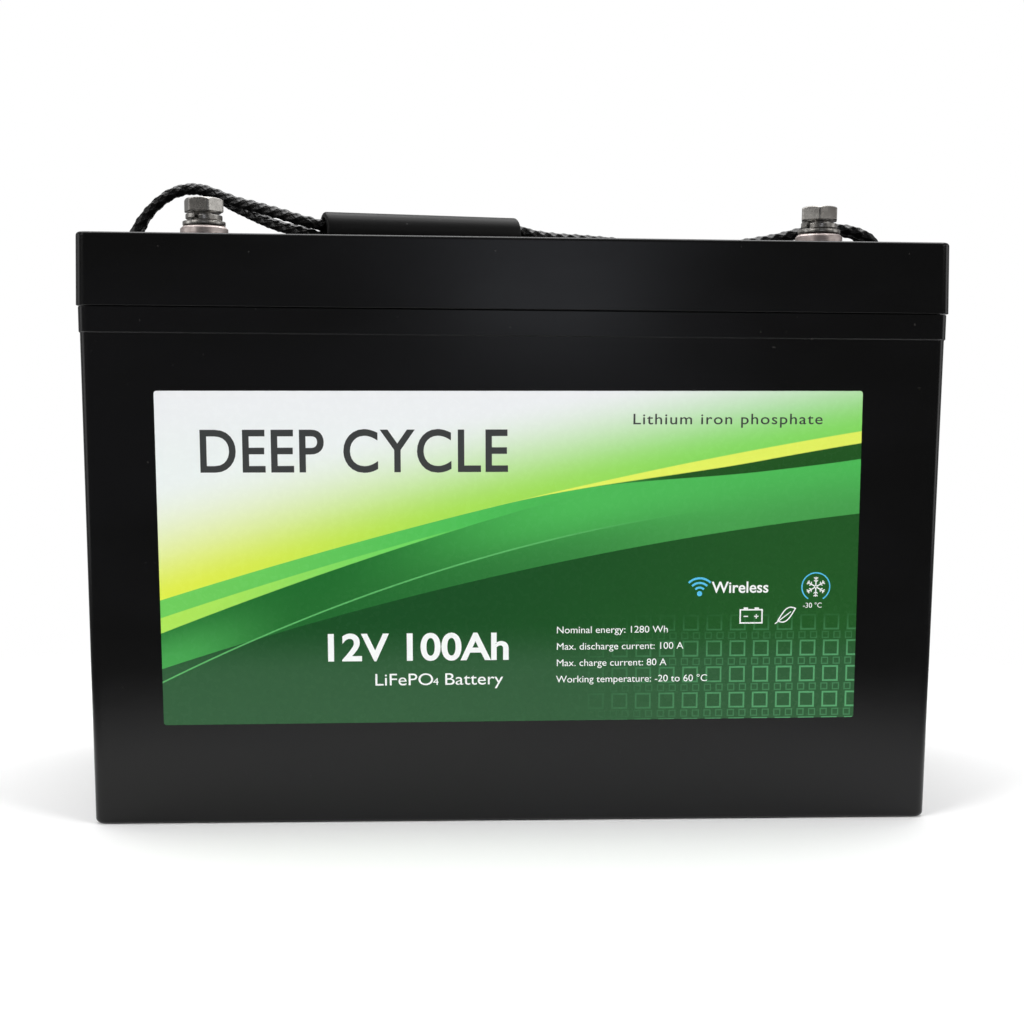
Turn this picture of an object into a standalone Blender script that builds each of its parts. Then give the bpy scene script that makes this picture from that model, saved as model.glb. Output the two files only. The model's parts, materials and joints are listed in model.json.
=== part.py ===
"""Deep cycle battery: 12 V, 100 Ah lithium iron phosphate pack in a 307 x 169 mm moulded case.

The frame is +X along the case, -Y to the labelled front and +Z up, with the origin under the
middle of the base. Sizes below are in millimetres, and MM turns them into Blender's metres.
"""

import math

import bmesh
import bpy
from mathutils import Matrix, Vector

MM = 0.001
FIT_GAP = 0.3  # clearance between two pieces that touch

# Case and lid: half sizes along X and Y, and heights
LID_TOP = 208.7
LID_HALF_TOP = (153.2, 84.0)
LID_HALF_SKIRT = (153.7, 84.5)
LID_HALF_INSIDE = (151.2, 82.2)
LID_THICKNESS = 3.0
LID_EDGE_RADIUS = 1.3
SKIRT_BOTTOM = 183.8
BAND_BOTTOM = 174.5
BAND_HALF = (153.15, 84.0)
BAND_CHAMFER = 0.4
CASE_HALF_TOP = (152.8, 83.57)
CASE_HALF_BOTTOM = (152.35, 82.7)
CASE_HALF_TONGUE = (150.8, 81.8)
CASE_HALF_INSIDE = (149.1, 80.4)
CASE_FLOOR = 3.0
TONGUE_TOP = 199.4
BASE_EDGE_RADIUS = 1.8
CORNER_RADIUS = 4.0
INNER_CORNER_RADIUS = 2.6
CORNER_STEPS = 4
EDGE_STEPS = 3

# Front label, stuck on the drafted front wall
LABEL_SIZE = (250.4, 118.4)
LABEL_CENTRE = (-1.8, 96.4)
LABEL_THICKNESS = 0.25
LABEL_TURN_DEG = 0.4
LABEL_CORNER_RADIUS = 1.0

# Terminals
TERMINAL_X = 112.7
TERMINAL_Y = -54.0
COLLAR_RADIUS = 8.6
COLLAR_HEIGHT = 5.2
NECK_RADIUS = 6.5
POST_BOTTOM = 191.7
POST_BORE_RADIUS = 4.3
POST_BORE_DEPTH = 17.0
FLAT_WASHER_RADII = (7.7, 4.4)
FLAT_WASHER_THICKNESS = 1.5
SPRING_WASHER_RADII = (6.6, 4.4)
SPRING_WASHER_THICKNESS = 1.7
SPRING_WASHER_RISE = 0.7
SPRING_WASHER_GAP_DEG = 14.0
BOLT_FLATS = 12.75
BOLT_HEAD_HEIGHT = 5.2
BOLT_SHANK_RADIUS = 4.0
BOLT_LENGTH = 20.0
POSITIVE_BOLT_TURN_DEG = 110.0
NEGATIVE_BOLT_TURN_DEG = 76.0
POST_SEAL_RADII = (10.5, 6.8)
POST_SEAL_THICKNESS = 1.8
POST_NUT_FLATS = 19.0
POST_NUT_HEIGHT = 7.0
ROUND_SEGMENTS = 48

# Rope handle. Route points are (x, y, height above the lid).
ROPE_DIAMETER = 4.1
ROPE_POINT_SPACING = 4.0
ROPE_HOLE_X = 145.9
ROPE_HOLE_Y = 7.0
ROPE_HOLE_RADIUS = 2.7
ROPE_HOLE_MOUTH = 1.4  # rounding of the hole where the rope comes out
ROPE_STRAND_OFFSET = 2.25  # each run from the middle of the grip's bore
STOP_RADII = (2.9, 2.3)
STOP_HEIGHT = 9.0
GRIP_LEFT_END = (-71.6, -22.6, 7.9)
GRIP_RIGHT_END = (3.5, 0.5, 9.35)
GRIP_RADIUS = 7.2
GRIP_BORE_RADIUS = 5.0
GRIP_END_ROUND = 1.6
ROPE_LEFT_FRONT = [
    (-145.9, -7.0, -11.8), (-145.9, -7.0, -6.6), (-145.9, -7.0, -2.8), (-146.3, -7.0, 0.6),
    (-146.5, -7.0, 4.0), (-145.2, -7.1, 8.6), (-141.4, -7.4, 14.2), (-136.4, -8.0, 19.2),
    (-130.7, -8.7, 22.9), (-124.2, -9.4, 24.6), (-117.6, -10.5, 23.9), (-111.2, -12.0, 21.6),
    (-105.2, -14.1, 19.3), (-99.0, -16.6, 17.6), (-92.7, -19.2, 15.7), (-86.8, -21.7, 13.9),
    (-81.8, -23.6, 12.2), (-76.8, -24.3, 10.9),
]
ROPE_LEFT_REAR = [
    (-145.9, 7.0, -11.8), (-145.9, 7.0, -6.6), (-146.0, 7.0, -2.8), (-146.5, 7.0, 0.6),
    (-147.0, 7.0, 4.4), (-146.3, 6.9, 10.0), (-143.2, 6.6, 16.1), (-138.3, 5.9, 21.2),
    (-132.6, 4.6, 24.7), (-126.4, 2.8, 26.2), (-120.0, 0.4, 25.6), (-114.0, -2.4, 22.9),
    (-108.2, -5.7, 19.4), (-102.4, -9.2, 16.4), (-96.8, -12.6, 13.6), (-91.4, -15.6, 11.2),
    (-86.4, -18.2, 9.4), (-81.8, -20.3, 8.2), (-77.2, -21.8, 7.0),
]
ROPE_RIGHT_FRONT = [
    (10.7, 2.7, 10.3), (19.8, 5.5, 9.5), (30.2, 7.6, 9.2), (41.0, 8.7, 8.6), (50.6, 8.6, 7.7),
    (60.0, 7.7, 6.3), (69.0, 6.4, 5.0), (77.6, 4.8, 4.7), (86.0, 2.8, 5.8), (94.2, 0.7, 7.3),
    (102.0, -1.4, 8.4), (109.4, -3.2, 9.7), (116.4, -4.7, 11.4), (123.2, -5.8, 12.7),
    (129.8, -6.5, 13.2), (135.6, -6.9, 12.8), (139.9, -7.0, 11.8), (143.3, -7.0, 10.5),
    (145.9, -7.0, 8.7), (147.4, -7.0, 6.5), (147.8, -7.0, 3.9), (147.3, -7.0, 1.5),
    (146.4, -7.0, -0.8), (145.95, -7.0, -3.3), (145.9, -7.0, -7.0), (145.9, -7.0, -11.8),
]
ROPE_RIGHT_REAR = [
    (10.7, 4.6, 6.1), (19.7, 8.4, 5.5), (30.0, 12.2, 4.5), (41.4, 14.6, 3.5),
    (53.0, 15.8, 2.8), (64.6, 16.2, 2.6), (75.8, 15.8, 3.1), (86.0, 14.7, 5.0),
    (95.2, 13.5, 7.1), (104.0, 12.1, 9.1), (111.9, 10.9, 10.9), (119.4, 9.7, 12.7),
    (126.4, 8.7, 14.0), (132.8, 7.9, 14.5), (138.4, 7.4, 13.8), (142.4, 7.0, 12.7),
    (145.6, 7.0, 10.7), (147.5, 7.0, 8.0), (148.1, 7.0, 5.0), (147.8, 7.0, 2.5),
    (147.0, 7.0, 0.4), (146.25, 7.0, -1.8), (145.9, 7.0, -4.4), (145.9, 7.0, -8.0),
    (145.9, 7.0, -11.8),
]

# Cell stack
CELL_SIZE = (50.0, 159.5, 119.0)
CELL_BOTTOM = 8.6
CELL_PITCH = 51.6
CELL_CORNER_RADIUS = 2.0
CELL_POST_Y = 50.0
CELL_POST_RADIUS = 8.0
CELL_POST_HEIGHT = 2.4
SPACER_THICKNESS = 1.0
END_PLATE_THICKNESS = 3.0
STRAP_Y = 25.0
STRAP_WIDTH = 14.0
STRAP_THICKNESS = 0.6
BUSBAR_SIZE = (72.0, 24.0, 2.0)
FLOOR_PAD_SIZE = (212.0, 156.0, 3.0)
HEATER_SIZE = (200.0, 144.0, 0.8)
END_FOAM_X = (107.2, 147.8)
END_FOAM_HALF_Y = 78.0
END_FOAM_TOP = 128.0

# Electronics above the cells
SENSE_BOARD_SIZE = (190.0, 14.0, 1.2)
PROBE_SIZE = (8.0, 5.0, 2.4)
BARRIER_X = 106.0
BARRIER_Y = (-36.0, 78.0)
BARRIER_THICKNESS = 2.0
HEAT_SINK_SIZE = (150.0, 86.0, 6.0)
HEAT_SINK_Y = 22.0
BMS_BOARD_SIZE = (144.0, 80.0, 1.6)
MOSFET_BAR_SIZE = (116.0, 12.0, 6.0)
MOSFET_BAR_Y = 34.0
CONNECTOR_SIZE = (34.0, 7.0, 8.0)
CONNECTOR_Y = 56.0
WIRELESS_SIZE = (20.0, 34.0, 3.0)
WIRELESS_PLACE = (91.0, 30.0)
BMS_LUG_X = 45.0
BMS_LUG_Y = -8.0

# Cable lugs and leads
LUG_WIDTH = 18.0
LUG_REACH = 21.0
LUG_THICKNESS = 2.0
LUG_SEGMENTS = 40
POST_LUG_HOLE = 6.8
SMALL_LUG_HOLE = 3.2
LEAD_DIAMETER = 7.0
LEAD_POINT_SPACING = 7.0
LUG_TO_LEAD = 0.8  # gap between a lug's tail and the end of its lead

BLACK_PLASTIC = ((0.012, 0.012, 0.013), 0.32, 0.0)
LABEL_FILM = ((0.20, 0.55, 0.16), 0.28, 0.0)
NICKEL = ((0.62, 0.58, 0.56), 0.24, 1.0)
STAINLESS = ((0.55, 0.54, 0.52), 0.28, 1.0)
BRAID = ((0.010, 0.010, 0.010), 0.60, 0.0)
GRIP_PLASTIC = ((0.020, 0.020, 0.021), 0.38, 0.0)
CELL_FILM = ((0.03, 0.12, 0.42), 0.35, 0.0)
ALUMINIUM = ((0.72, 0.73, 0.75), 0.35, 1.0)
COPPER = ((0.80, 0.42, 0.26), 0.30, 1.0)
GLASS_BOARD = ((0.04, 0.22, 0.10), 0.45, 0.0)
BARRIER_SHEET = ((0.62, 0.66, 0.45), 0.50, 0.0)
FOAM = ((0.05, 0.05, 0.05), 0.90, 0.0)
RUBBER = ((0.02, 0.02, 0.02), 0.70, 0.0)
HEATER_FILM = ((0.55, 0.22, 0.05), 0.55, 0.0)
STRAP_STEEL = ((0.45, 0.46, 0.48), 0.35, 1.0)
RED_SLEEVE = ((0.55, 0.02, 0.02), 0.45, 0.0)
BLACK_SLEEVE = ((0.015, 0.015, 0.015), 0.45, 0.0)


def clear_scene():
    """Starts from an empty scene."""
    for thing in list(bpy.data.objects):
        bpy.data.objects.remove(thing, do_unlink=True)


def paint(thing, look):
    """Gives an object a material of its own."""
    colour, roughness, metallic = look
    material = bpy.data.materials.new(thing.name)
    material.use_nodes = True
    shader = material.node_tree.nodes["Principled BSDF"]
    shader.inputs["Base Color"].default_value = (*colour, 1.0)
    shader.inputs["Roughness"].default_value = roughness
    shader.inputs["Metallic"].default_value = metallic
    thing.data.materials.append(material)


def add_empty(name, place):
    """An empty that a moving piece hangs from, on its joint's axis."""
    empty = bpy.data.objects.new(name, None)
    empty.location = Vector(place) * MM
    bpy.context.collection.objects.link(empty)
    return empty


def add_solid(name, shape, look, place=(0, 0, 0), turn=None, parent=None):
    """Turns a bmesh, drawn in millimetres, into a named object with outward faces."""
    bmesh.ops.scale(shape, vec=(MM, MM, MM), verts=shape.verts)
    bmesh.ops.recalc_face_normals(shape, faces=shape.faces)
    mesh = bpy.data.meshes.new(name)
    shape.to_mesh(mesh)
    shape.free()
    mesh.shade_smooth()
    mesh.set_sharp_from_angle(angle=math.radians(30))
    thing = bpy.data.objects.new(name, mesh)
    thing.location = Vector(place) * MM
    if turn is not None:
        thing.rotation_euler = turn
    bpy.context.collection.objects.link(thing)
    if parent is not None:
        thing.parent = parent
    paint(thing, look)
    return thing


def circle(radius, z, segments=ROUND_SEGMENTS):
    """One level of a turned piece, anticlockwise from above."""
    angles = [2 * math.pi * i / segments for i in range(segments)]
    return [Vector((radius * math.cos(a), radius * math.sin(a), z)) for a in angles]


def hexagon(across_flats, z, most_radius=None, segments=ROUND_SEGMENTS):
    """One level of a hexagon, its corners cut back to most_radius where that is given."""
    points = []
    for i in range(segments):
        angle = 2 * math.pi * i / segments
        from_flat = (angle % (math.pi / 3)) - math.pi / 6
        radius = across_flats / 2 / math.cos(from_flat)
        if most_radius is not None:
            radius = min(radius, most_radius)
        points.append(Vector((radius * math.cos(angle), radius * math.sin(angle), z)))
    return points


def rounded_rectangle(half, radius, z, centre=(0.0, 0.0), steps=CORNER_STEPS):
    """One level of a case wall, anticlockwise from above."""
    points = []
    for quarter, (side_x, side_y) in enumerate([(1, 1), (-1, 1), (-1, -1), (1, -1)]):
        middle_x = centre[0] + side_x * (half[0] - radius)
        middle_y = centre[1] + side_y * (half[1] - radius)
        for i in range(steps + 1):
            angle = math.pi / 2 * (quarter + i / steps)
            x = middle_x + radius * math.cos(angle)
            y = middle_y + radius * math.sin(angle)
            points.append(Vector((x, y, z)))
    return points


def loft(levels, closed=False):
    """Joins levels that have the same number of points. A closed loft ends where it starts."""
    shape = bmesh.new()
    rings = [[shape.verts.new(point) for point in level] for level in levels]
    count = len(rings[0])
    pairs = list(zip(rings, rings[1:]))
    if closed:
        pairs.append((rings[-1], rings[0]))
    for low, high in pairs:
        for i in range(count):
            j = (i + 1) % count
            shape.faces.new((low[i], low[j], high[j], high[i]))
    if not closed:
        shape.faces.new(list(reversed(rings[0])))
        shape.faces.new(rings[-1])
    return shape


def hollow(outer, inner, bottom, top, level):
    """A straight ring: level(size, z) draws its outline at one height."""
    corners = [(outer, bottom), (outer, top), (inner, top), (inner, bottom)]
    return loft([level(size, z) for size, z in corners], closed=True)


def block(size, corner_radius=0.0):
    """A box standing on z = 0, with its four upright edges rounded."""
    half = (size[0] / 2, size[1] / 2)
    radius = max(corner_radius, 0.2)
    return loft([rounded_rectangle(half, radius, z, steps=2) for z in (0.0, size[2])])


def shrink(half, amount):
    return (half[0] - amount, half[1] - amount)


def quarter_round(half, radius, corner_radius, z_face, z_wall):
    """Levels of a rounded edge, from the flat face to the wall."""
    levels = []
    for i in range(EDGE_STEPS + 1):
        angle = math.pi / 2 * i / EDGE_STEPS
        inset = radius * (1 - math.sin(angle))
        z = z_wall + (z_face - z_wall) * math.cos(angle)
        corner = max(corner_radius - inset, 0.5)
        levels.append(rounded_rectangle(shrink(half, inset), corner, z))
    return levels


def add_cutter(name, shape):
    """A hidden solid that a Boolean modifier takes away."""
    cutter = add_solid(name, shape, BLACK_PLASTIC)
    cutter.hide_render = True
    cutter.display_type = "WIRE"
    return cutter


def cut(thing, cutter):
    boolean = thing.modifiers.new("holes", "BOOLEAN")
    boolean.operation = "DIFFERENCE"
    boolean.object = cutter


def merge_into(shape, other, place=(0, 0, 0)):
    """Adds another closed shape to this bmesh, moved to place."""
    other.transform(Matrix.Translation(Vector(place)))
    spare = bpy.data.meshes.new("spare")
    other.to_mesh(spare)
    other.free()
    shape.from_mesh(spare)
    bpy.data.meshes.remove(spare)


def smooth_route(points, spacing):
    """Evenly spaced points on a Catmull-Rom curve through the route's points."""
    points = [Vector(point) for point in points]
    ends = [2 * points[0] - points[1], *points, 2 * points[-1] - points[-2]]
    fine = []
    for before, start, end, after in zip(ends, ends[1:], ends[2:], ends[3:]):
        for i in range(20):
            t = i / 20
            fine.append(0.5 * (
                2 * start + (end - before) * t
                + (2 * before - 5 * start + 4 * end - after) * t ** 2
                + (3 * start - before - 3 * end + after) * t ** 3
            ))
    fine.append(points[-1])
    lengths = [0.0]
    for a, b in zip(fine, fine[1:]):
        lengths.append(lengths[-1] + (b - a).length)
    count = max(2, round(lengths[-1] / spacing))
    route, k = [], 0
    for i in range(count + 1):
        wanted = lengths[-1] * i / count
        while k < len(fine) - 2 and lengths[k + 1] < wanted:
            k += 1
        share = (wanted - lengths[k]) / max(lengths[k + 1] - lengths[k], 1e-9)
        route.append(fine[k].lerp(fine[k + 1], share))
    return route


def add_tube(name, route, diameter, spacing, look, parent=None):
    """A rope or lead: a round tube along a smooth curve through the route's points."""
    curve = bpy.data.curves.new(name, "CURVE")
    curve.dimensions = "3D"
    curve.bevel_depth = diameter / 2 * MM
    curve.bevel_resolution = 2
    curve.use_fill_caps = True
    points = smooth_route(route, spacing)
    spline = curve.splines.new("POLY")
    spline.points.add(len(points) - 1)
    for spot, point in zip(spline.points, points):
        spot.co = (*(point * MM), 1.0)
    thing = bpy.data.objects.new(name, curve)
    bpy.context.collection.objects.link(thing)
    if parent is not None:
        thing.parent = parent
        thing.matrix_parent_inverse = Matrix.Translation(-parent.location)
    paint(thing, look)
    return thing


# --- Case, lid and label ---------------------------------------------------------------------


def add_case():
    """Open-topped box with a rounded base edge, a rim band and the tongue that the lid covers."""
    base = quarter_round(
        CASE_HALF_BOTTOM, BASE_EDGE_RADIUS, CORNER_RADIUS, 0.0, BASE_EDGE_RADIUS
    )
    ledge = SKIRT_BOTTOM - FIT_GAP
    band_start = BAND_BOTTOM + BAND_CHAMFER
    wall = [
        rounded_rectangle(CASE_HALF_TOP, CORNER_RADIUS, BAND_BOTTOM),
        rounded_rectangle(BAND_HALF, CORNER_RADIUS, band_start),
        rounded_rectangle(BAND_HALF, CORNER_RADIUS, ledge),
        rounded_rectangle(CASE_HALF_TONGUE, INNER_CORNER_RADIUS, ledge),
        rounded_rectangle(CASE_HALF_TONGUE, INNER_CORNER_RADIUS, TONGUE_TOP),
        rounded_rectangle(CASE_HALF_INSIDE, INNER_CORNER_RADIUS, TONGUE_TOP),
        rounded_rectangle(CASE_HALF_INSIDE, INNER_CORNER_RADIUS, CASE_FLOOR),
    ]
    add_solid("case", loft(base + wall), BLACK_PLASTIC)


def add_lid():
    """Cap lid with a flared skirt, two holes for the terminal posts and four for the rope."""
    edge = quarter_round(
        LID_HALF_TOP, LID_EDGE_RADIUS, CORNER_RADIUS, LID_TOP, LID_TOP - LID_EDGE_RADIUS
    )
    levels = [
        rounded_rectangle(LID_HALF_INSIDE, INNER_CORNER_RADIUS, LID_TOP - LID_THICKNESS),
        rounded_rectangle(LID_HALF_INSIDE, INNER_CORNER_RADIUS, SKIRT_BOTTOM),
        rounded_rectangle(LID_HALF_SKIRT, CORNER_RADIUS, SKIRT_BOTTOM),
        *reversed(edge),
    ]
    lid = add_solid("lid", loft(levels), BLACK_PLASTIC)
    holes = bmesh.new()
    bottom = LID_TOP - LID_THICKNESS - 2.0
    top = LID_TOP + 2.0
    for side in (-1, 1):
        radius = NECK_RADIUS + FIT_GAP
        post_hole = loft([circle(radius, bottom), circle(radius, top)])
        merge_into(holes, post_hole, (side * TERMINAL_X, TERMINAL_Y, 0))
        for end in (-1, 1):
            levels = [circle(ROPE_HOLE_RADIUS, bottom, 24)]
            for angle in (0.0, math.pi / 4, math.pi / 2):
                levels.append(circle(
                    ROPE_HOLE_RADIUS + ROPE_HOLE_MOUTH * (1 - math.cos(angle)),
                    LID_TOP - ROPE_HOLE_MOUTH * (1 - math.sin(angle)), 24,
                ))
            levels.append(circle(ROPE_HOLE_RADIUS + ROPE_HOLE_MOUTH, top, 24))
            merge_into(holes, loft(levels), (side * ROPE_HOLE_X, end * ROPE_HOLE_Y, 0))
    cut(lid, add_cutter("lid_hole_cutter", holes))


def add_lid_seal():
    """Foam cord between the case's tongue and the lid."""
    def outline(half, z):
        return rounded_rectangle(half, INNER_CORNER_RADIUS, z)

    bottom = TONGUE_TOP + FIT_GAP
    top = LID_TOP - LID_THICKNESS - FIT_GAP
    ring = hollow(CASE_HALF_TONGUE, CASE_HALF_INSIDE, bottom, top, outline)
    add_solid("lid_seal", ring, RUBBER)


def add_label():
    """Printed film on the front wall, which leans by the case's draft."""
    rise = BAND_BOTTOM - BASE_EDGE_RADIUS
    lean = math.atan((CASE_HALF_TOP[1] - CASE_HALF_BOTTOM[1]) / rise)
    x, z = LABEL_CENTRE
    wall_y = -(CASE_HALF_BOTTOM[1] + (z - BASE_EDGE_RADIUS) * math.tan(lean))
    half = (LABEL_SIZE[0] / 2, LABEL_SIZE[1] / 2)
    levels = [
        rounded_rectangle(half, LABEL_CORNER_RADIUS, height)
        for height in (FIT_GAP, FIT_GAP + LABEL_THICKNESS)
    ]
    label = add_solid("front_label", loft(levels), LABEL_FILM, place=(x, wall_y, z))
    upright = Matrix.Rotation(math.pi / 2 + lean, 4, "X")
    turned = Matrix.Rotation(math.radians(LABEL_TURN_DEG), 4, "Z")
    label.rotation_euler = (upright @ turned).to_euler()


# --- Terminals -------------------------------------------------------------------------------


def add_post(side, place):
    """Nickel plated post with a round collar, a neck through the lid and a blind bore."""
    low = LID_TOP + FIT_GAP
    high = LID_TOP + COLLAR_HEIGHT
    levels = [
        circle(NECK_RADIUS, POST_BOTTOM), circle(NECK_RADIUS, low),
        circle(COLLAR_RADIUS - 0.3, low), circle(COLLAR_RADIUS, low + 0.4),
        circle(COLLAR_RADIUS, high - 0.9), circle(COLLAR_RADIUS - 0.9, high),
        circle(POST_BORE_RADIUS + 0.4, high), circle(POST_BORE_RADIUS, high - 0.4),
        circle(POST_BORE_RADIUS, high - POST_BORE_DEPTH),
    ]
    add_solid(side + "_post", loft(levels), NICKEL, place=place)


def add_post_fixings(side, place):
    """Sealing washer and clamping nut inside the case, round the post's neck."""
    seal_top = LID_TOP - LID_THICKNESS - FIT_GAP
    seal_bottom = seal_top - POST_SEAL_THICKNESS
    seal = hollow(*POST_SEAL_RADII, seal_bottom, seal_top, circle)
    add_solid(side + "_post_seal", seal, RUBBER, place=place)
    nut_top = seal_bottom - LUG_THICKNESS - 2 * FIT_GAP
    nut_bottom = nut_top - POST_NUT_HEIGHT
    bore = NECK_RADIUS + FIT_GAP
    levels = [
        hexagon(POST_NUT_FLATS, nut_bottom), hexagon(POST_NUT_FLATS, nut_top),
        circle(bore, nut_top), circle(bore, nut_bottom),
    ]
    add_solid(side + "_post_nut", loft(levels, closed=True), NICKEL, place=place)


def spring_washer_shape():
    """A split ring with a square section that climbs as it goes round."""
    outer, inner = SPRING_WASHER_RADII
    steps = 40
    sweep = 2 * math.pi - math.radians(SPRING_WASHER_GAP_DEG)
    levels = []
    for i in range(steps + 1):
        angle = sweep * i / steps
        z = SPRING_WASHER_RISE * i / steps
        section = [(outer, z), (outer, z + SPRING_WASHER_THICKNESS)]
        section += [(inner, z + SPRING_WASHER_THICKNESS), (inner, z)]
        levels.append(
            [Vector((r * math.cos(angle), r * math.sin(angle), h)) for r, h in section]
        )
    return loft(levels)


def bolt_shape():
    """Hexagon head with chamfered corners, on a shank that points down from z = 0."""
    corner_radius = BOLT_FLATS / 2 / math.cos(math.pi / 6)
    chamfered = BOLT_FLATS / 2 * 0.97
    levels = [
        circle(BOLT_SHANK_RADIUS - 0.7, -BOLT_LENGTH),
        circle(BOLT_SHANK_RADIUS, -BOLT_LENGTH + 0.8),
        circle(BOLT_SHANK_RADIUS, 0.0),
        hexagon(BOLT_FLATS, 0.0),
        hexagon(BOLT_FLATS, BOLT_HEAD_HEIGHT - 0.7, corner_radius),
        hexagon(BOLT_FLATS, BOLT_HEAD_HEIGHT - 0.35, corner_radius * 0.955),
        hexagon(BOLT_FLATS, BOLT_HEAD_HEIGHT, chamfered),
    ]
    return loft(levels)


def add_terminal_bolt(side, place, turn_deg):
    """Flat washer, spring washer and bolt, which lift off the post as the bolt unscrews."""
    seat = LID_TOP + COLLAR_HEIGHT + FIT_GAP
    washers = add_empty(side + "_washer_mount", (place[0], place[1], seat))
    flat = hollow(*FLAT_WASHER_RADII, 0.0, FLAT_WASHER_THICKNESS, circle)
    add_solid(side + "_flat_washer", flat, STAINLESS, parent=washers)
    spring_z = FLAT_WASHER_THICKNESS + FIT_GAP
    add_solid(
        side + "_spring_washer", spring_washer_shape(), STAINLESS, place=(0, 0, spring_z),
        turn=(0, 0, math.radians(turn_deg + 150)), parent=washers,
    )
    head_z = spring_z + SPRING_WASHER_THICKNESS + SPRING_WASHER_RISE + FIT_GAP
    add_solid(
        side + "_bolt", bolt_shape(), STAINLESS, place=(0, 0, head_z),
        turn=(0, 0, math.radians(turn_deg)), parent=washers,
    )


def add_terminals():
    for side, sign, turn_deg in (
        ("positive", -1, POSITIVE_BOLT_TURN_DEG),
        ("negative", 1, NEGATIVE_BOLT_TURN_DEG),
    ):
        place = (sign * TERMINAL_X, TERMINAL_Y, 0)
        add_post(side, place)
        add_post_fixings(side, place)
        add_terminal_bolt(side, place, turn_deg)


# --- Rope handle -----------------------------------------------------------------------------


def above_lid(point):
    """From heights over the lid to the battery's frame."""
    return Vector((point[0], point[1], point[2] + LID_TOP))


def add_handle():
    """Grip tube, and two rope runs, each in two halves that meet in the middle of the grip."""
    left, right = above_lid(GRIP_LEFT_END), above_lid(GRIP_RIGHT_END)
    axis = (right - left).normalized()
    middle = (left + right) / 2
    mount = add_empty("grip_mount", middle)
    mount.rotation_euler = axis.to_track_quat("Z", "Y").to_euler()
    add_solid("grip_tube", grip_shape((right - left).length / 2), GRIP_PLASTIC, parent=mount)
    runs = {
        "front": (ROPE_LEFT_FRONT, ROPE_RIGHT_FRONT, ROPE_STRAND_OFFSET),
        "rear": (ROPE_LEFT_REAR, ROPE_RIGHT_REAR, -ROPE_STRAND_OFFSET),
    }
    for run, (left_route, right_route, offset) in runs.items():
        rise = Vector((0, 0, offset))
        to_middle = [left + rise, left.lerp(middle, 0.5) + rise, middle - axis * FIT_GAP + rise]
        add_tube(
            "rope_left_" + run, [above_lid(p) for p in left_route] + to_middle,
            ROPE_DIAMETER, ROPE_POINT_SPACING, BRAID,
        )
        from_middle = [middle + axis * FIT_GAP + rise, middle.lerp(right, 0.5) + rise]
        add_tube(
            "rope_right_" + run,
            from_middle + [right + rise] + [above_lid(p) for p in right_route],
            ROPE_DIAMETER, ROPE_POINT_SPACING, BRAID,
        )
    add_rope_stops()


def grip_shape(half_length):
    """Plastic tube with rounded ends, along Z about its middle."""
    levels = []
    for sign in (-1, 1):
        arc = []
        for i in range(EDGE_STEPS + 1):
            angle = math.pi / 2 * i / EDGE_STEPS
            radius = GRIP_RADIUS - GRIP_END_ROUND * (1 - math.cos(angle))
            z = half_length - GRIP_END_ROUND * (1 - math.sin(angle))
            arc.append(circle(radius, sign * z, 32))
        levels += arc if sign > 0 else list(reversed(arc))
    levels.append(circle(GRIP_BORE_RADIUS, half_length, 32))
    levels.append(circle(GRIP_BORE_RADIUS, -half_length, 32))
    return loft(levels, closed=True)


def add_rope_stops():
    """Crimped sleeves that keep the rope's ends under the lid."""
    def ring(radius, z):
        return circle(radius, z, 20)

    top = LID_TOP - LID_THICKNESS - FIT_GAP
    for side, sign in (("left", -1), ("right", 1)):
        for end, across in (("front", -1), ("rear", 1)):
            add_solid(
                "rope_stop_" + side + "_" + end,
                hollow(*STOP_RADII, top - STOP_HEIGHT, top, ring), ALUMINIUM,
                place=(sign * ROPE_HOLE_X, across * ROPE_HOLE_Y, 0),
            )


# --- Cell stack ------------------------------------------------------------------------------


def cell_shape():
    """Prismatic can with its two terminal posts raised on top."""
    can = block(CELL_SIZE, CELL_CORNER_RADIUS)
    top = max(can.faces, key=lambda face: face.calc_center_median().z)
    bmesh.ops.delete(can, geom=[top], context="FACES_ONLY")
    rim = [edge for edge in can.edges if edge.is_boundary]
    for across in (-1, 1):
        rings = [
            [can.verts.new(point + Vector((0, across * CELL_POST_Y, 0))) for point in level]
            for level in (
                circle(CELL_POST_RADIUS, CELL_SIZE[2], 24),
                circle(CELL_POST_RADIUS, CELL_SIZE[2] + CELL_POST_HEIGHT, 24),
            )
        ]
        for i in range(24):
            j = (i + 1) % 24
            can.faces.new((rings[0][i], rings[0][j], rings[1][j], rings[1][i]))
            rim.append(can.edges.get((rings[0][i], rings[0][j])))
        can.faces.new(rings[1])
    bmesh.ops.triangle_fill(can, edges=rim, use_beauty=True)
    return can


def add_cells():
    """Four cells in a row, with an insulating sheet in each joint and a plate at each end."""
    middles = [(i - 1.5) * CELL_PITCH for i in range(4)]
    for i, x in enumerate(middles):
        add_solid(f"cell_{i + 1}", cell_shape(), CELL_FILM, place=(x, 0, CELL_BOTTOM))
    for i, (a, b) in enumerate(zip(middles, middles[1:])):
        sheet = block((SPACER_THICKNESS, CELL_SIZE[1], CELL_SIZE[2]))
        place = ((a + b) / 2, 0, CELL_BOTTOM)
        add_solid(f"cell_spacer_{i + 1}", sheet, BARRIER_SHEET, place=place)
    plate_x = middles[-1] + (CELL_SIZE[0] + END_PLATE_THICKNESS) / 2 + FIT_GAP
    for side, sign in (("left", -1), ("right", 1)):
        plate = block((END_PLATE_THICKNESS, CELL_SIZE[1] - 3, CELL_SIZE[2]), 1.0)
        add_solid("end_plate_" + side, plate, ALUMINIUM, place=(sign * plate_x, 0, CELL_BOTTOM))
    add_straps(plate_x + END_PLATE_THICKNESS / 2 + FIT_GAP)
    add_busbars(middles)


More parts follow.
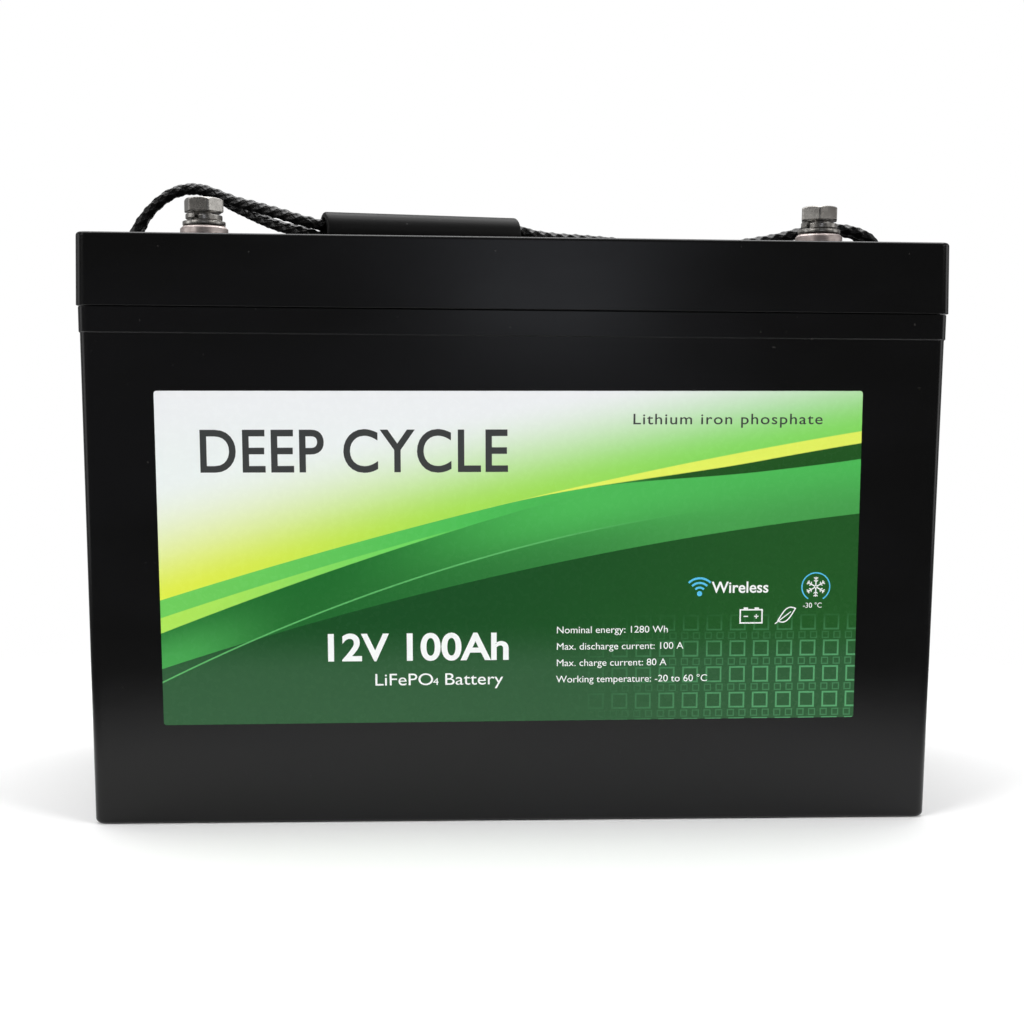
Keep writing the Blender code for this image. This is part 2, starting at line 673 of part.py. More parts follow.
def add_straps(inner_x):
    """Two steel bands round the stack."""
    inner_z = CELL_SIZE[2] / 2 + FIT_GAP
    middle_z = CELL_BOTTOM + CELL_SIZE[2] / 2
    inner = (inner_x, inner_z)
    outer = (inner_x + STRAP_THICKNESS, inner_z + STRAP_THICKNESS)

    def outline(half, z):
        return rounded_rectangle(half, 0.6 if half is inner else 1.2, z)

    for name, y in (("front", -STRAP_Y), ("rear", STRAP_Y)):
        band = hollow(outer, inner, -STRAP_WIDTH / 2, STRAP_WIDTH / 2, outline)
        add_solid(
            "stack_strap_" + name, band, STRAP_STEEL, place=(0, y, middle_z),
            turn=(math.pi / 2, 0, 0),
        )


def add_busbars(middles):
    """Three bars that put the four cells in series."""
    z = CELL_BOTTOM + CELL_SIZE[2] + CELL_POST_HEIGHT + FIT_GAP
    for i, (a, b) in enumerate(zip(middles, middles[1:])):
        y = CELL_POST_Y if i % 2 == 0 else -CELL_POST_Y
        add_solid(f"busbar_{i + 1}", block(BUSBAR_SIZE, 6.0), COPPER, place=((a + b) / 2, y, z))


def add_padding():
    """Foam under and beside the stack, and the heating film below the cells."""
    pad_z = CASE_FLOOR + FIT_GAP
    add_solid("floor_pad", block(FLOOR_PAD_SIZE, 3.0), FOAM, place=(0, 0, pad_z))
    heater_z = pad_z + FLOOR_PAD_SIZE[2] + FIT_GAP
    add_solid("heater_film", block(HEATER_SIZE, 3.0), HEATER_FILM, place=(0, 0, heater_z))
    width = END_FOAM_X[1] - END_FOAM_X[0]
    for side, sign in (("left", -1), ("right", 1)):
        foam = block((width, 2 * END_FOAM_HALF_Y, END_FOAM_TOP - pad_z), 3.0)
        place = (sign * (END_FOAM_X[0] + END_FOAM_X[1]) / 2, 0, pad_z)
        add_solid("end_foam_" + side, foam, FOAM, place=place)


# --- Electronics and leads -------------------------------------------------------------------


def lug_outline(reach, z):
    """A round end about the hole that widens into a square tail along +X."""
    points = []
    for i in range(LUG_SEGMENTS):
        angle = 2 * math.pi * i / LUG_SEGMENTS
        along, across = math.cos(angle), abs(math.sin(angle))
        radius = LUG_WIDTH / 2
        if along > 0:
            radius = min(reach / along, LUG_WIDTH / 2 / max(across, 1e-6))
        points.append(Vector((radius * along, radius * math.sin(angle), z)))
    return points


def lug_shape(hole_radius):
    """Flat lug with a tail along +X."""
    levels = [lug_outline(LUG_REACH, z) for z in (0.0, LUG_THICKNESS)]
    levels += [circle(hole_radius, z, LUG_SEGMENTS) for z in (LUG_THICKNESS, 0.0)]
    return loft(levels, closed=True)


def add_lug(name, hole_radius, place, tail_deg):
    add_solid(
        name, lug_shape(hole_radius), COPPER, place=place, turn=(0, 0, math.radians(tail_deg))
    )


def add_electronics():
    """Sense board, temperature probe, barrier sheet, management board and wireless module."""
    cell_top = CELL_BOTTOM + CELL_SIZE[2]
    sense_z = cell_top + 1.2
    add_solid("sense_board", block(SENSE_BOARD_SIZE, 2.0), GLASS_BOARD, place=(0, 0, sense_z))
    probe_place = (-CELL_PITCH / 2, 12.0, cell_top + FIT_GAP)
    add_solid("temperature_probe", block(PROBE_SIZE, 1.0), RUBBER, place=probe_place)
    barrier_z = cell_top + CELL_POST_HEIGHT + BUSBAR_SIZE[2] + 2 * FIT_GAP + 0.1
    barrier_size = (2 * BARRIER_X, BARRIER_Y[1] - BARRIER_Y[0], BARRIER_THICKNESS)
    barrier_y = (BARRIER_Y[0] + BARRIER_Y[1]) / 2
    add_solid(
        "cell_barrier", block(barrier_size, 4.0), BARRIER_SHEET, place=(0, barrier_y, barrier_z)
    )
    sink_z = barrier_z + BARRIER_THICKNESS + FIT_GAP
    add_solid(
        "bms_heat_sink", block(HEAT_SINK_SIZE, 2.0), ALUMINIUM, place=(0, HEAT_SINK_Y, sink_z)
    )
    board_z = sink_z + HEAT_SINK_SIZE[2] + FIT_GAP
    add_solid(
        "bms_board", block(BMS_BOARD_SIZE, 1.0), GLASS_BOARD, place=(0, HEAT_SINK_Y, board_z)
    )
    top_z = board_z + BMS_BOARD_SIZE[2] + FIT_GAP
    add_solid(
        "mosfet_clamp_bar", block(MOSFET_BAR_SIZE, 1.0), ALUMINIUM, place=(0, MOSFET_BAR_Y, top_z)
    )
    add_solid(
        "sense_connector", block(CONNECTOR_SIZE, 0.5), BARRIER_SHEET, place=(0, CONNECTOR_Y, top_z)
    )
    add_solid(
        "wireless_module", block(WIRELESS_SIZE, 1.0), GLASS_BOARD,
        place=(*WIRELESS_PLACE, sink_z),
    )
    return top_z


def add_leads(board_top):
    """Three short leads: cell to positive post, cell to board, and board to negative post."""
    half_lug = LUG_THICKNESS / 2
    cell_x = 1.5 * CELL_PITCH
    cell_z = CELL_BOTTOM + CELL_SIZE[2] + CELL_POST_HEIGHT + FIT_GAP
    post_z = LID_TOP - LID_THICKNESS - POST_SEAL_THICKNESS - LUG_THICKNESS - 2 * FIT_GAP
    add_lug("positive_post_lug", POST_LUG_HOLE, (-TERMINAL_X, TERMINAL_Y, post_z), 0)
    add_lug("negative_post_lug", POST_LUG_HOLE, (TERMINAL_X, TERMINAL_Y, post_z), 180)
    add_lug("positive_cell_lug", SMALL_LUG_HOLE, (-cell_x, -CELL_POST_Y, cell_z), 0)
    add_lug("negative_cell_lug", SMALL_LUG_HOLE, (cell_x, -CELL_POST_Y, cell_z), 180)
    add_lug("bms_input_lug", SMALL_LUG_HOLE, (BMS_LUG_X, BMS_LUG_Y, board_top), -90)
    add_lug("bms_output_lug", SMALL_LUG_HOLE, (-BMS_LUG_X, BMS_LUG_Y, board_top), -90)
    reach = LUG_REACH + LUG_TO_LEAD
    post_end = TERMINAL_X - reach
    cell_end = cell_x - reach
    lug_y = BMS_LUG_Y - reach
    positive = [
        (-cell_end, -50.0, cell_z + half_lug + 1.6), (-44.0, -50.5, cell_z + 6.0),
        (-37.0, -51.5, cell_z + 20.0), (-42.0, -53.0, cell_z + 40.0),
        (-58.0, -54.0, post_z - 10.0), (-74.0, -54.0, post_z - 1.5),
        (-post_end, -54.0, post_z + 0.2),
    ]
    negative = [
        (cell_end, -50.0, cell_z + half_lug + 1.6), (43.0, -51.5, cell_z + 6.5),
        (38.5, -52.0, cell_z + 15.0), (41.0, -46.0, cell_z + 22.0),
        (44.5, -38.5, cell_z + 18.5), (BMS_LUG_X, lug_y, board_top + half_lug + 1.6),
    ]
    output = [
        (-BMS_LUG_X, lug_y, board_top + half_lug + 1.6), (-41.0, -41.0, board_top + 7.0),
        (-27.0, -45.0, board_top + 18.0), (-2.0, -47.0, board_top + 31.0),
        (28.0, -50.0, post_z - 14.0), (56.0, -53.0, post_z - 4.0),
        (76.0, -54.0, post_z - 0.4), (post_end, -54.0, post_z + 0.2),
    ]
    for name, route, look in (
        ("positive_lead", positive, RED_SLEEVE),
        ("negative_lead", negative, BLACK_SLEEVE),
        ("output_lead", output, BLACK_SLEEVE),
    ):
        add_tube(name, route, LEAD_DIAMETER, LEAD_POINT_SPACING, look)


def main():
    clear_scene()
    add_case()
    add_lid()
    add_lid_seal()
    add_label()
    add_terminals()
    add_handle()
    add_cells()
    add_padding()
    add_leads(add_electronics())


main()
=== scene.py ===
"""Deep cycle battery: the looks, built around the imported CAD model. Everything is in metres."""

import json
import math

import bmesh
import bpy
import numpy as np
from mathutils import Matrix, Vector


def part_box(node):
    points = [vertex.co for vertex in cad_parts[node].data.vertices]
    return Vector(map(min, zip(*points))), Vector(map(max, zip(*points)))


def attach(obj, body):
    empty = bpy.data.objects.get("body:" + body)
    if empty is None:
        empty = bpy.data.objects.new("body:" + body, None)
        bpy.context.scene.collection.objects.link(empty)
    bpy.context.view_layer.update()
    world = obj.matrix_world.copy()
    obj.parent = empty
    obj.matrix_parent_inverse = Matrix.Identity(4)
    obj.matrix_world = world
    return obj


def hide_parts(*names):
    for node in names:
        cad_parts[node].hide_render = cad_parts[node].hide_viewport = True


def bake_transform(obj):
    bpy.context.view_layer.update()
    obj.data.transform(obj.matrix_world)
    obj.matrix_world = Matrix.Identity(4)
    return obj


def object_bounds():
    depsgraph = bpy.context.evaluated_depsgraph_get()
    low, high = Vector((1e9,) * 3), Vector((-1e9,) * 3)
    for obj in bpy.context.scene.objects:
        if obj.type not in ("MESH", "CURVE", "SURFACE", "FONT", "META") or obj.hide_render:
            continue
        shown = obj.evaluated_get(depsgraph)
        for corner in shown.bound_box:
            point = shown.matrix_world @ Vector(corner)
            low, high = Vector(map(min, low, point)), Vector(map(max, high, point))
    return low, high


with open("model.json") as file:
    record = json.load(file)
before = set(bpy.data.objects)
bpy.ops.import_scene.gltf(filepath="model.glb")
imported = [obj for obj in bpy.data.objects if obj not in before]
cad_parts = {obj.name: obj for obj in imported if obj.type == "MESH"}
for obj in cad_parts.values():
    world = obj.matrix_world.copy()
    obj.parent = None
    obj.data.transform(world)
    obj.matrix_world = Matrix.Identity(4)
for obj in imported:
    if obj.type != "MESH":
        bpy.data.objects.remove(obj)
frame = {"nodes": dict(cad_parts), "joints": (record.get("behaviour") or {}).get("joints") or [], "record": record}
CAD_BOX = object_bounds()
JOINTS = {joint["name"]: joint for joint in frame["joints"]}
LID_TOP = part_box("lid")[1].z

# The camera, from the photograph's edges of the case, the lid and the label
CAMERA_PLACE = (-0.03564, -0.64235, 0.14586)
CAMERA_YAW_DEG = -3.446
CAMERA_PITCH_DEG = -7.65
CAMERA_ROLL_DEG = -0.361
CAMERA_LENS = 55.225
CAMERA_SHIFT_Y = 0.115

# Rope routes: x, y and height above the lid
ROPE_LEFT_FRONT = [
    (-0.1459, -0.0070, -0.0118), (-0.1459, -0.0070, -0.0066), (-0.1459, -0.0070, -0.0028),
    (-0.1463, -0.0070, 0.0006), (-0.1465, -0.0070, 0.0040), (-0.1452, -0.0071, 0.0086),
    (-0.1414, -0.0074, 0.0142), (-0.1364, -0.0080, 0.0192), (-0.1307, -0.0087, 0.0229),
    (-0.1242, -0.0094, 0.0246), (-0.1176, -0.0105, 0.0239), (-0.1112, -0.0120, 0.0216),
    (-0.1052, -0.0141, 0.0193), (-0.0990, -0.0166, 0.0176), (-0.0927, -0.0192, 0.0157),
    (-0.0868, -0.0217, 0.0139), (-0.0818, -0.0236, 0.0122), (-0.0768, -0.0243, 0.0109),
]
ROPE_LEFT_REAR = [
    (-0.1459, 0.0070, -0.0118), (-0.1459, 0.0070, -0.0066), (-0.1460, 0.0070, -0.0028),
    (-0.1465, 0.0070, 0.0006), (-0.1470, 0.0070, 0.0044), (-0.1463, 0.0069, 0.0100),
    (-0.1432, 0.0066, 0.0161), (-0.1383, 0.0059, 0.0212), (-0.1326, 0.0046, 0.0247),
    (-0.1264, 0.0028, 0.0262), (-0.1200, 0.0004, 0.0256), (-0.1140, -0.0024, 0.0229),
    (-0.1082, -0.0057, 0.0194), (-0.1024, -0.0092, 0.0164), (-0.0968, -0.0126, 0.0136),
    (-0.0914, -0.0156, 0.0112), (-0.0864, -0.0182, 0.0094), (-0.0818, -0.0203, 0.0082),
    (-0.0772, -0.0218, 0.0070),
]
ROPE_RIGHT_FRONT = [
    (0.0107, 0.0027, 0.0103), (0.0198, 0.0055, 0.0095), (0.0302, 0.0076, 0.0092),
    (0.0410, 0.0087, 0.0086), (0.0506, 0.0086, 0.0077), (0.0600, 0.0077, 0.0063),
    (0.0690, 0.0064, 0.0050), (0.0776, 0.0048, 0.0047), (0.0860, 0.0028, 0.0058),
    (0.0942, 0.0007, 0.0073), (0.1020, -0.0014, 0.0084), (0.1094, -0.0032, 0.0097),
    (0.1164, -0.0047, 0.0114), (0.1232, -0.0058, 0.0127), (0.1298, -0.0065, 0.0132),
    (0.1356, -0.0069, 0.0128), (0.1399, -0.0070, 0.0118), (0.1433, -0.0070, 0.0105),
    (0.1459, -0.0070, 0.0087), (0.1474, -0.0070, 0.0065), (0.1478, -0.0070, 0.0039),
    (0.1473, -0.0070, 0.0015), (0.1464, -0.0070, -0.0008), (0.14595, -0.0070, -0.0033),
    (0.1459, -0.0070, -0.0070), (0.1459, -0.0070, -0.0118),
]
ROPE_RIGHT_REAR = [
    (0.0107, 0.0046, 0.0061), (0.0197, 0.0084, 0.0055), (0.0300, 0.0122, 0.0045),
    (0.0414, 0.0146, 0.0035), (0.0530, 0.0158, 0.0028), (0.0646, 0.0162, 0.0026),
    (0.0758, 0.0158, 0.0031), (0.0860, 0.0147, 0.0050), (0.0952, 0.0135, 0.0071),
    (0.1040, 0.0121, 0.0091), (0.1119, 0.0109, 0.0109), (0.1194, 0.0097, 0.0127),
    (0.1264, 0.0087, 0.0140), (0.1328, 0.0079, 0.0145), (0.1384, 0.0074, 0.0138),
    (0.1424, 0.0070, 0.0127), (0.1456, 0.0070, 0.0107), (0.1475, 0.0070, 0.0080),
    (0.1481, 0.0070, 0.0050), (0.1478, 0.0070, 0.0025), (0.1470, 0.0070, 0.0004),
    (0.14625, 0.0070, -0.0018), (0.1459, 0.0070, -0.0044), (0.1459, 0.0070, -0.0080),
    (0.1459, 0.0070, -0.0118),
]
ROPE_HOLE = (0.1459, 0.0070)  # x and y of each hole, from the middle of the lid
ROPE_HOLE_RADIUS = 0.0027
RUN_OFFSET = 0.00225  # of the two runs from the grip's axis, one up and one down
GRIP_LEFT = (-0.0716, -0.0226, 0.0079)  # ends of the grip's axis, as the routes are given
GRIP_RIGHT = (0.0035, 0.0005, 0.00935)
JOIN_GAP = 0.0003  # from the middle of the grip to the end of each half run
BRAID_LAY = 0.020  # length of rope in which a strand goes once round
BRAID_STRANDS = 4  # strands that wind each way
BRAID_CORE = 0.00142  # radius of the braid between its strands
BRAID_CROWN = 0.00050  # how far a strand stands out of the core
BRAID_WEAVE = 0.00029  # how far it rises or dips where it crosses another
BRAID_RIDGE = 0.16  # wave of the yarns over a strand's width, as a share of its crown
STRAND_REACH = 0.54  # half a strand's width, as a share of the distance between strands
BRAID_STEP = 0.00028
BRAID_SIDES = 56


# --- Mesh tools ------------------------------------------------------------------------------


def add_object(name, mesh, smooth_deg=35):
    mesh.shade_smooth()
    mesh.set_sharp_from_angle(angle=math.radians(smooth_deg))
    thing = bpy.data.objects.new(name, mesh)
    bpy.context.scene.collection.objects.link(thing)
    return thing


def mesh_from_rings(
    name, rings, closed=False, smooth_deg=35, unit=1.0, place=(0, 0, 0), spin=0.0
):
    """Joins rings that have the same number of points, and caps the ends or closes the loop."""
    rings = [np.asarray(level, float) for level in rings]
    count, total = len(rings[0]), len(rings)
    points = np.vstack(rings)
    steps = total if closed else total - 1
    row = np.arange(steps)[:, None] * count
    next_row = (np.arange(steps)[:, None] + 1) % total * count
    i = np.arange(count)[None, :]
    j = (i + 1) % count
    faces = np.stack([row + i, row + j, next_row + j, next_row + i], -1).reshape(-1, 4).tolist()
    if not closed:
        faces.append(list(range(count))[::-1])
        faces.append([count * (total - 1) + k for k in range(count)])
    mesh = bpy.data.meshes.new(name)
    mesh.from_pydata(points.tolist(), [], faces)
    shape = bmesh.new()
    shape.from_mesh(mesh)
    bmesh.ops.recalc_face_normals(shape, faces=shape.faces)
    shape.to_mesh(mesh)
    shape.free()
    mesh.transform(Matrix.Rotation(spin, 4, "Z"))
    mesh.transform(Matrix.Translation(place))
    mesh.transform(Matrix.Scale(unit, 4))
    return add_object(name, mesh, smooth_deg)


def full_turn(segments):
    return np.linspace(0, 2 * math.pi, segments, endpoint=False)


def level_ring(radii, angles, z):
    """A ring of points at the height z. radii is one radius, or one for each angle."""
    return np.stack(
        [radii * np.cos(angles), radii * np.sin(angles), np.broadcast_to(z, angles.shape)], axis=1
    )


def ring(radius, z, segments=96):
    return level_ring(radius, full_turn(segments), z)


def turned(name, profile, segments=96, closed=False, place=(0, 0, 0)):
    """A turned piece. profile holds (radius, z) pairs in millimetres."""
    rings = [ring(radius, z, segments) for radius, z in profile]
    return mesh_from_rings(name, rings, closed, unit=MM, place=place)


def rounded_rectangle(half, radius, z, steps=12):
    points = []
    for quarter, (side_x, side_y) in enumerate([(1, 1), (-1, 1), (-1, -1), (1, -1)]):
        for i in range(steps + 1):
            angle = math.pi / 2 * (quarter + i / steps)
            points.append((
                side_x * (half[0] - radius) + radius * math.cos(angle),
                side_y * (half[1] - radius) + radius * math.sin(angle),
                z,
            ))
    return points


def apply_modifiers(thing):
    """Keeps the mesh that the modifiers make, and drops them."""
    graph = bpy.context.evaluated_depsgraph_get()
    mesh = bpy.data.meshes.new_from_object(thing.evaluated_get(graph))
    thing.modifiers.clear()
    thing.data = mesh
    return thing


def cut_away(thing, cutter):
    """Takes the cutter out of the thing, and removes it."""
    boolean = thing.modifiers.new("cut", "BOOLEAN")
    boolean.operation = "DIFFERENCE"
    boolean.object = cutter
    apply_modifiers(thing)
    bpy.data.objects.remove(cutter)


def smooth_line(points, spacing):
    """Evenly spaced points on a Catmull-Rom curve through the given ones."""
    points = np.asarray(points, float)
    ends = np.vstack([2 * points[0] - points[1], points, 2 * points[-1] - points[-2]])
    fine = []
    for before, start, end, after in zip(ends, ends[1:], ends[2:], ends[3:]):
        for t in np.arange(40) / 40:
            fine.append(0.5 * (
                2 * start + (end - before) * t
                + (2 * before - 5 * start + 4 * end - after) * t ** 2
                + (3 * start - before - 3 * end + after) * t ** 3
            ))
    fine = np.array(fine + [points[-1]])
    lengths = np.r_[0, np.cumsum(np.linalg.norm(np.diff(fine, axis=0), axis=1))]
    wanted = np.linspace(0, lengths[-1], round(lengths[-1] / spacing) + 1)
    return np.stack([np.interp(wanted, lengths, fine[:, k]) for k in range(3)], axis=1)


def travelling_frames(line):
    """Two directions across the line at each of its points, which don't twist along it."""
    along = np.gradient(line, axis=0)
    along /= np.linalg.norm(along, axis=1)[:, None]
    side = np.cross(along[0], (0.0, 0.0, 1.0) if abs(along[0][2]) < 0.9 else (0.0, 1.0, 0.0))
    side /= np.linalg.norm(side)
    sides = []
    for direction in along:
        side = side - direction * (side @ direction)
        side /= np.linalg.norm(side)
        sides.append(side)
    sides = np.array(sides)
    return sides, np.cross(along, sides)


# --- Camera and ropes ------------------------------------------------------------------------


def add_camera():
    camera = bpy.data.objects.new("camera", bpy.data.cameras.new("camera"))
    bpy.context.scene.collection.objects.link(camera)
    turn = (
        Matrix.Rotation(math.radians(CAMERA_YAW_DEG), 4, "Z")
        @ Matrix.Rotation(math.radians(CAMERA_PITCH_DEG), 4, "X")
        @ Matrix.Rotation(math.radians(CAMERA_ROLL_DEG), 4, "Y")
    )
    upright = Matrix.Rotation(math.pi / 2, 4, "X")
    camera.matrix_world = Matrix.Translation(CAMERA_PLACE) @ turn @ upright
    camera.data.lens = CAMERA_LENS
    camera.data.sensor_width = 36
    camera.data.shift_y = CAMERA_SHIFT_Y
    camera.data.clip_start = 0.01
    bpy.context.scene.camera = camera


def braid_radius(along, angle):
    """Surface of a braid in which each strand goes over and under those that wind the other way."""
    turn = BRAID_STRANDS * angle / (2 * math.pi)
    run = BRAID_STRANDS * along / BRAID_LAY
    left, right = turn + run, turn - run

    def strand(mine, other):
        number = np.round(mine)
        across = (mine - number) / STRAND_REACH
        crown = np.sqrt(np.clip(1 - across ** 2, 0, 1))
        ridge = BRAID_RIDGE * np.cos(across * 2 * math.pi)
        return crown + ridge, np.cos(math.pi * (other + number))

    left_crown, left_weave = strand(left, right)
    right_crown, right_weave = strand(right, left)
    return BRAID_CORE + np.maximum(
        BRAID_CROWN * left_crown + BRAID_WEAVE * left_weave,
        BRAID_CROWN * right_crown - BRAID_WEAVE * right_weave,
    )


def add_rope(node, route, look):
    """One braided half run, from its hole in the lid to the middle of the grip."""
    line = smooth_line(route, BRAID_STEP)
    across, up = travelling_frames(line)
    angle = full_turn(BRAID_SIDES)
    round_x, round_y = np.cos(angle)[:, None], np.sin(angle)[:, None]
    along = np.arange(len(line)) * np.linalg.norm(line[1] - line[0])
    rings = []
    for i, centre in enumerate(line):
        radius = braid_radius(along[i], angle)[:, None]
        rings.append(centre + radius * (round_x * across[i] + round_y * up[i]))
    rope = mesh_from_rings(node.replace("rope", "braid"), rings, smooth_deg=80)
    rope.data.materials.append(look)
    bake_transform(rope)
    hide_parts(node)


def add_ropes(look):
    rise = Vector((0, 0, LID_TOP))
    left, right = Vector(GRIP_LEFT) + rise, Vector(GRIP_RIGHT) + rise
    middle = (left + right) / 2
    axis = (right - left).normalized()
    for run, left_route, right_route, offset in (
        ("front", ROPE_LEFT_FRONT, ROPE_RIGHT_FRONT, RUN_OFFSET),
        ("rear", ROPE_LEFT_REAR, ROPE_RIGHT_REAR, -RUN_OFFSET),
    ):
        shift = Vector((0, 0, offset))
        inner_left = [left, left.lerp(middle, 0.5), middle - axis * JOIN_GAP]
        inner_right = [middle + axis * JOIN_GAP, middle.lerp(right, 0.5), right]
        add_rope(
            "rope_left_" + run,
            [Vector(p) + rise for p in left_route] + [p + shift for p in inner_left],
            look,
        )
        add_rope(
            "rope_right_" + run,
            [p + shift for p in inner_right] + [Vector(p) + rise for p in right_route],
            look,
        )


# --- Materials -------------------------------------------------------------------------------


def srgb(red, green, blue):
    """A colour from its 0 to 255 screen values."""
    return tuple(((c / 255 + 0.055) / 1.055) ** 2.4 if c > 10 else c / 255 / 12.92
                 for c in (red, green, blue))


class Look:
    """A material, with short ways to add and join its nodes."""

    def __init__(self, name, metallic=0.0):
        self.material = bpy.data.materials.new(name)
        self.material.use_nodes = True
        self.tree = self.material.node_tree
        self.shader = self.tree.nodes["Principled BSDF"]
        self.shader.inputs["Metallic"].default_value = metallic

    def node(self, kind, **inputs):
        made = self.tree.nodes.new("ShaderNode" + kind)
        for key, value in inputs.items():
            self.put(made.inputs[key.replace("_", " ")], value)
        return made

    def put(self, socket, value):
        if isinstance(value, bpy.types.NodeSocket):
            self.tree.links.new(value, socket)
        elif isinstance(value, tuple) and len(value) == 3 and socket.type == "RGBA":
            socket.default_value = (*value, 1.0)
        else:
            socket.default_value = value

    def math(self, operation, *values, clamp=False):
        made = self.tree.nodes.new("ShaderNodeMath")
        made.operation = operation
        made.use_clamp = clamp
        for socket, value in zip(made.inputs, values):
            self.put(socket, value)
        return made.outputs[0]

    def place(self, stretch=(1.0, 1.0, 1.0)):
        """Object coordinates in metres, stretched."""
        coordinates = self.node("TexCoord").outputs["Object"]
        return self.node("Mapping", Vector=coordinates, Scale=stretch).outputs[0]

    def noise(self, scale, stretch=(1.0, 1.0, 1.0), detail=3.0, rough=0.5):
        return self.node(
            "TexNoise", Vector=self.place(stretch), Scale=scale, Detail=detail, Roughness=rough
        ).outputs["Fac"]

    def between(self, value, low, high, out_low=0.0, out_high=1.0):
        made = self.tree.nodes.new("ShaderNodeMapRange")
        made.interpolation_type = "SMOOTHSTEP"
        for socket, entry in zip(made.inputs, (value, low, high, out_low, out_high)):
            self.put(socket, entry)
        return made.outputs[0]

    def mix(self, share, first, second):
        made = self.tree.nodes.new("ShaderNodeMix")
        made.data_type = "RGBA"
        self.put(made.inputs["Factor"], share)
        self.put(made.inputs[6], first)
        self.put(made.inputs[7], second)
        return made.outputs[2]

    def bump(self, height, strength, distance):
        made = self.node("Bump", Height=height, Strength=strength, Distance=distance)
        self.put(self.shader.inputs["Normal"], made.outputs[0])

    def finish(self, colour, roughness):
        self.put(self.shader.inputs["Base Color"], colour)
        self.put(self.shader.inputs["Roughness"], roughness)
        return self.material


# Specular level of the shader, where 0.5 is a common plastic
PLASTIC_SHINE = 0.26
LABEL_SHINE = 0.12
GRIP_SHINE = 0.16
YARN_SHINE = 0.42


def moulded_plastic():
    """Semi-gloss injection moulded case plastic: slight flow marks, fine grain and dust specks."""
    look = Look("moulded_plastic")
    flow = look.noise(9.0, stretch=(1.0, 1.0, 2.5), detail=4.0)
    specks = look.between(look.noise(650.0, detail=0.0), 0.86, 0.90)
    shade = look.mix(look.between(flow, 0.35, 0.65), srgb(11, 11, 11), srgb(15, 15, 16))
    colour = look.mix(look.math("MULTIPLY", specks, 0.15), shade, srgb(110, 108, 104))
    look.bump(look.noise(1800.0, detail=2.0), 0.08, 0.0001)
    look.shader.inputs["Specular IOR Level"].default_value = PLASTIC_SHINE
    return look.finish(colour, look.between(flow, 0.3, 0.7, 0.15, 0.22))


def grip_plastic():
    """Satin tube, with faint lines along it from the extrusion die."""
    look = Look("grip_plastic")
    lines = look.noise(900.0, stretch=(1.0, 1.0, 0.02))
    specks = look.between(look.noise(700.0, detail=0.0), 0.82, 0.87)
    shade = look.mix(lines, srgb(11, 11, 11), srgb(16, 16, 16))
    colour = look.mix(look.math("MULTIPLY", specks, 0.3), shade, srgb(110, 110, 108))
    look.bump(lines, 0.15, 0.0001)
    look.shader.inputs["Specular IOR Level"].default_value = GRIP_SHINE
    return look.finish(colour, look.between(lines, 0.3, 0.7, 0.42, 0.50))


def braid():
    """Black polyester yarn: fine filaments with a soft sheen."""
    look = Look("braid")
    fibre = look.noise(1800.0, stretch=(0.35, 1.0, 1.0), detail=3.0)
    patch = look.noise(160.0, detail=2.0)
    shade = look.mix(fibre, srgb(3, 3, 3), srgb(11, 11, 11))
    colour = look.mix(look.between(patch, 0.4, 0.7), shade, srgb(6, 6, 6))
    look.bump(fibre, 0.06, 0.0001)
    look.shader.inputs["Specular IOR Level"].default_value = YARN_SHINE
    return look.finish(colour, look.between(fibre, 0.3, 0.7, 0.20, 0.28))


def metal(name, dark, light, roughness, grain=1400.0, stretch=(1.0, 1.0, 1.0), strength=0.12):
    """Bare or plated metal with the grain that its tool left, and handling marks."""
    look = Look(name, metallic=1.0)
    lines = look.noise(grain, stretch=stretch, detail=3.0)
    marks = look.noise(110.0, detail=5.0, rough=0.65)
    colour = look.mix(look.between(marks, 0.35, 0.68), light, dark)
    look.bump(lines, strength, 0.00005)
    spread = look.math("ADD", look.math("MULTIPLY", marks, 0.12), look.between(
        lines, 0.3, 0.7, roughness - 0.06, roughness + 0.04))
    return look.finish(colour, spread)


def plain(name, dark, light, roughness, scale, strength=0.2, sheen=0.0):
    """Foam, rubber, film and sheet: broken colour with a surface texture of its own scale."""
    look = Look(name)
    grain = look.noise(scale, detail=4.0)
    broad = look.noise(scale / 14, detail=2.0)
    share = look.math("ADD", look.math("MULTIPLY", grain, 0.6), look.math("MULTIPLY", broad, 0.4))
    if sheen:
        look.shader.inputs["Sheen Weight"].default_value = sheen
    look.bump(grain, strength, 0.0002)
    return look.finish(
        look.mix(look.between(share, 0.3, 0.7), dark, light),
        look.between(broad, 0.3, 0.7, roughness - 0.06, roughness + 0.06),
    )


def closed_cell_foam():
    look = Look("closed_cell_foam")
    cells = look.node("TexVoronoi", Vector=look.place(), Scale=900.0).outputs["Distance"]
    look.bump(cells, 0.6, 0.0004)
    colour = look.mix(cells, srgb(34, 34, 36), srgb(66, 66, 68))
    return look.finish(colour, look.between(cells, 0.0, 0.8, 0.80, 0.95))


def circuit_board():
    """Green solder mask over copper tracks."""
    look = Look("circuit_board")
    made = look.node("TexBrick", Vector=look.place(), Scale=260.0, Mortar_Size=0.07)
    tracks = look.between(made.outputs["Fac"], 0.2, 0.8)
    look.bump(tracks, 0.4, 0.0001)
    colour = look.mix(tracks, srgb(14, 74, 38), srgb(38, 118, 62))
    return look.finish(colour, look.between(tracks, 0.0, 1.0, 0.30, 0.42))


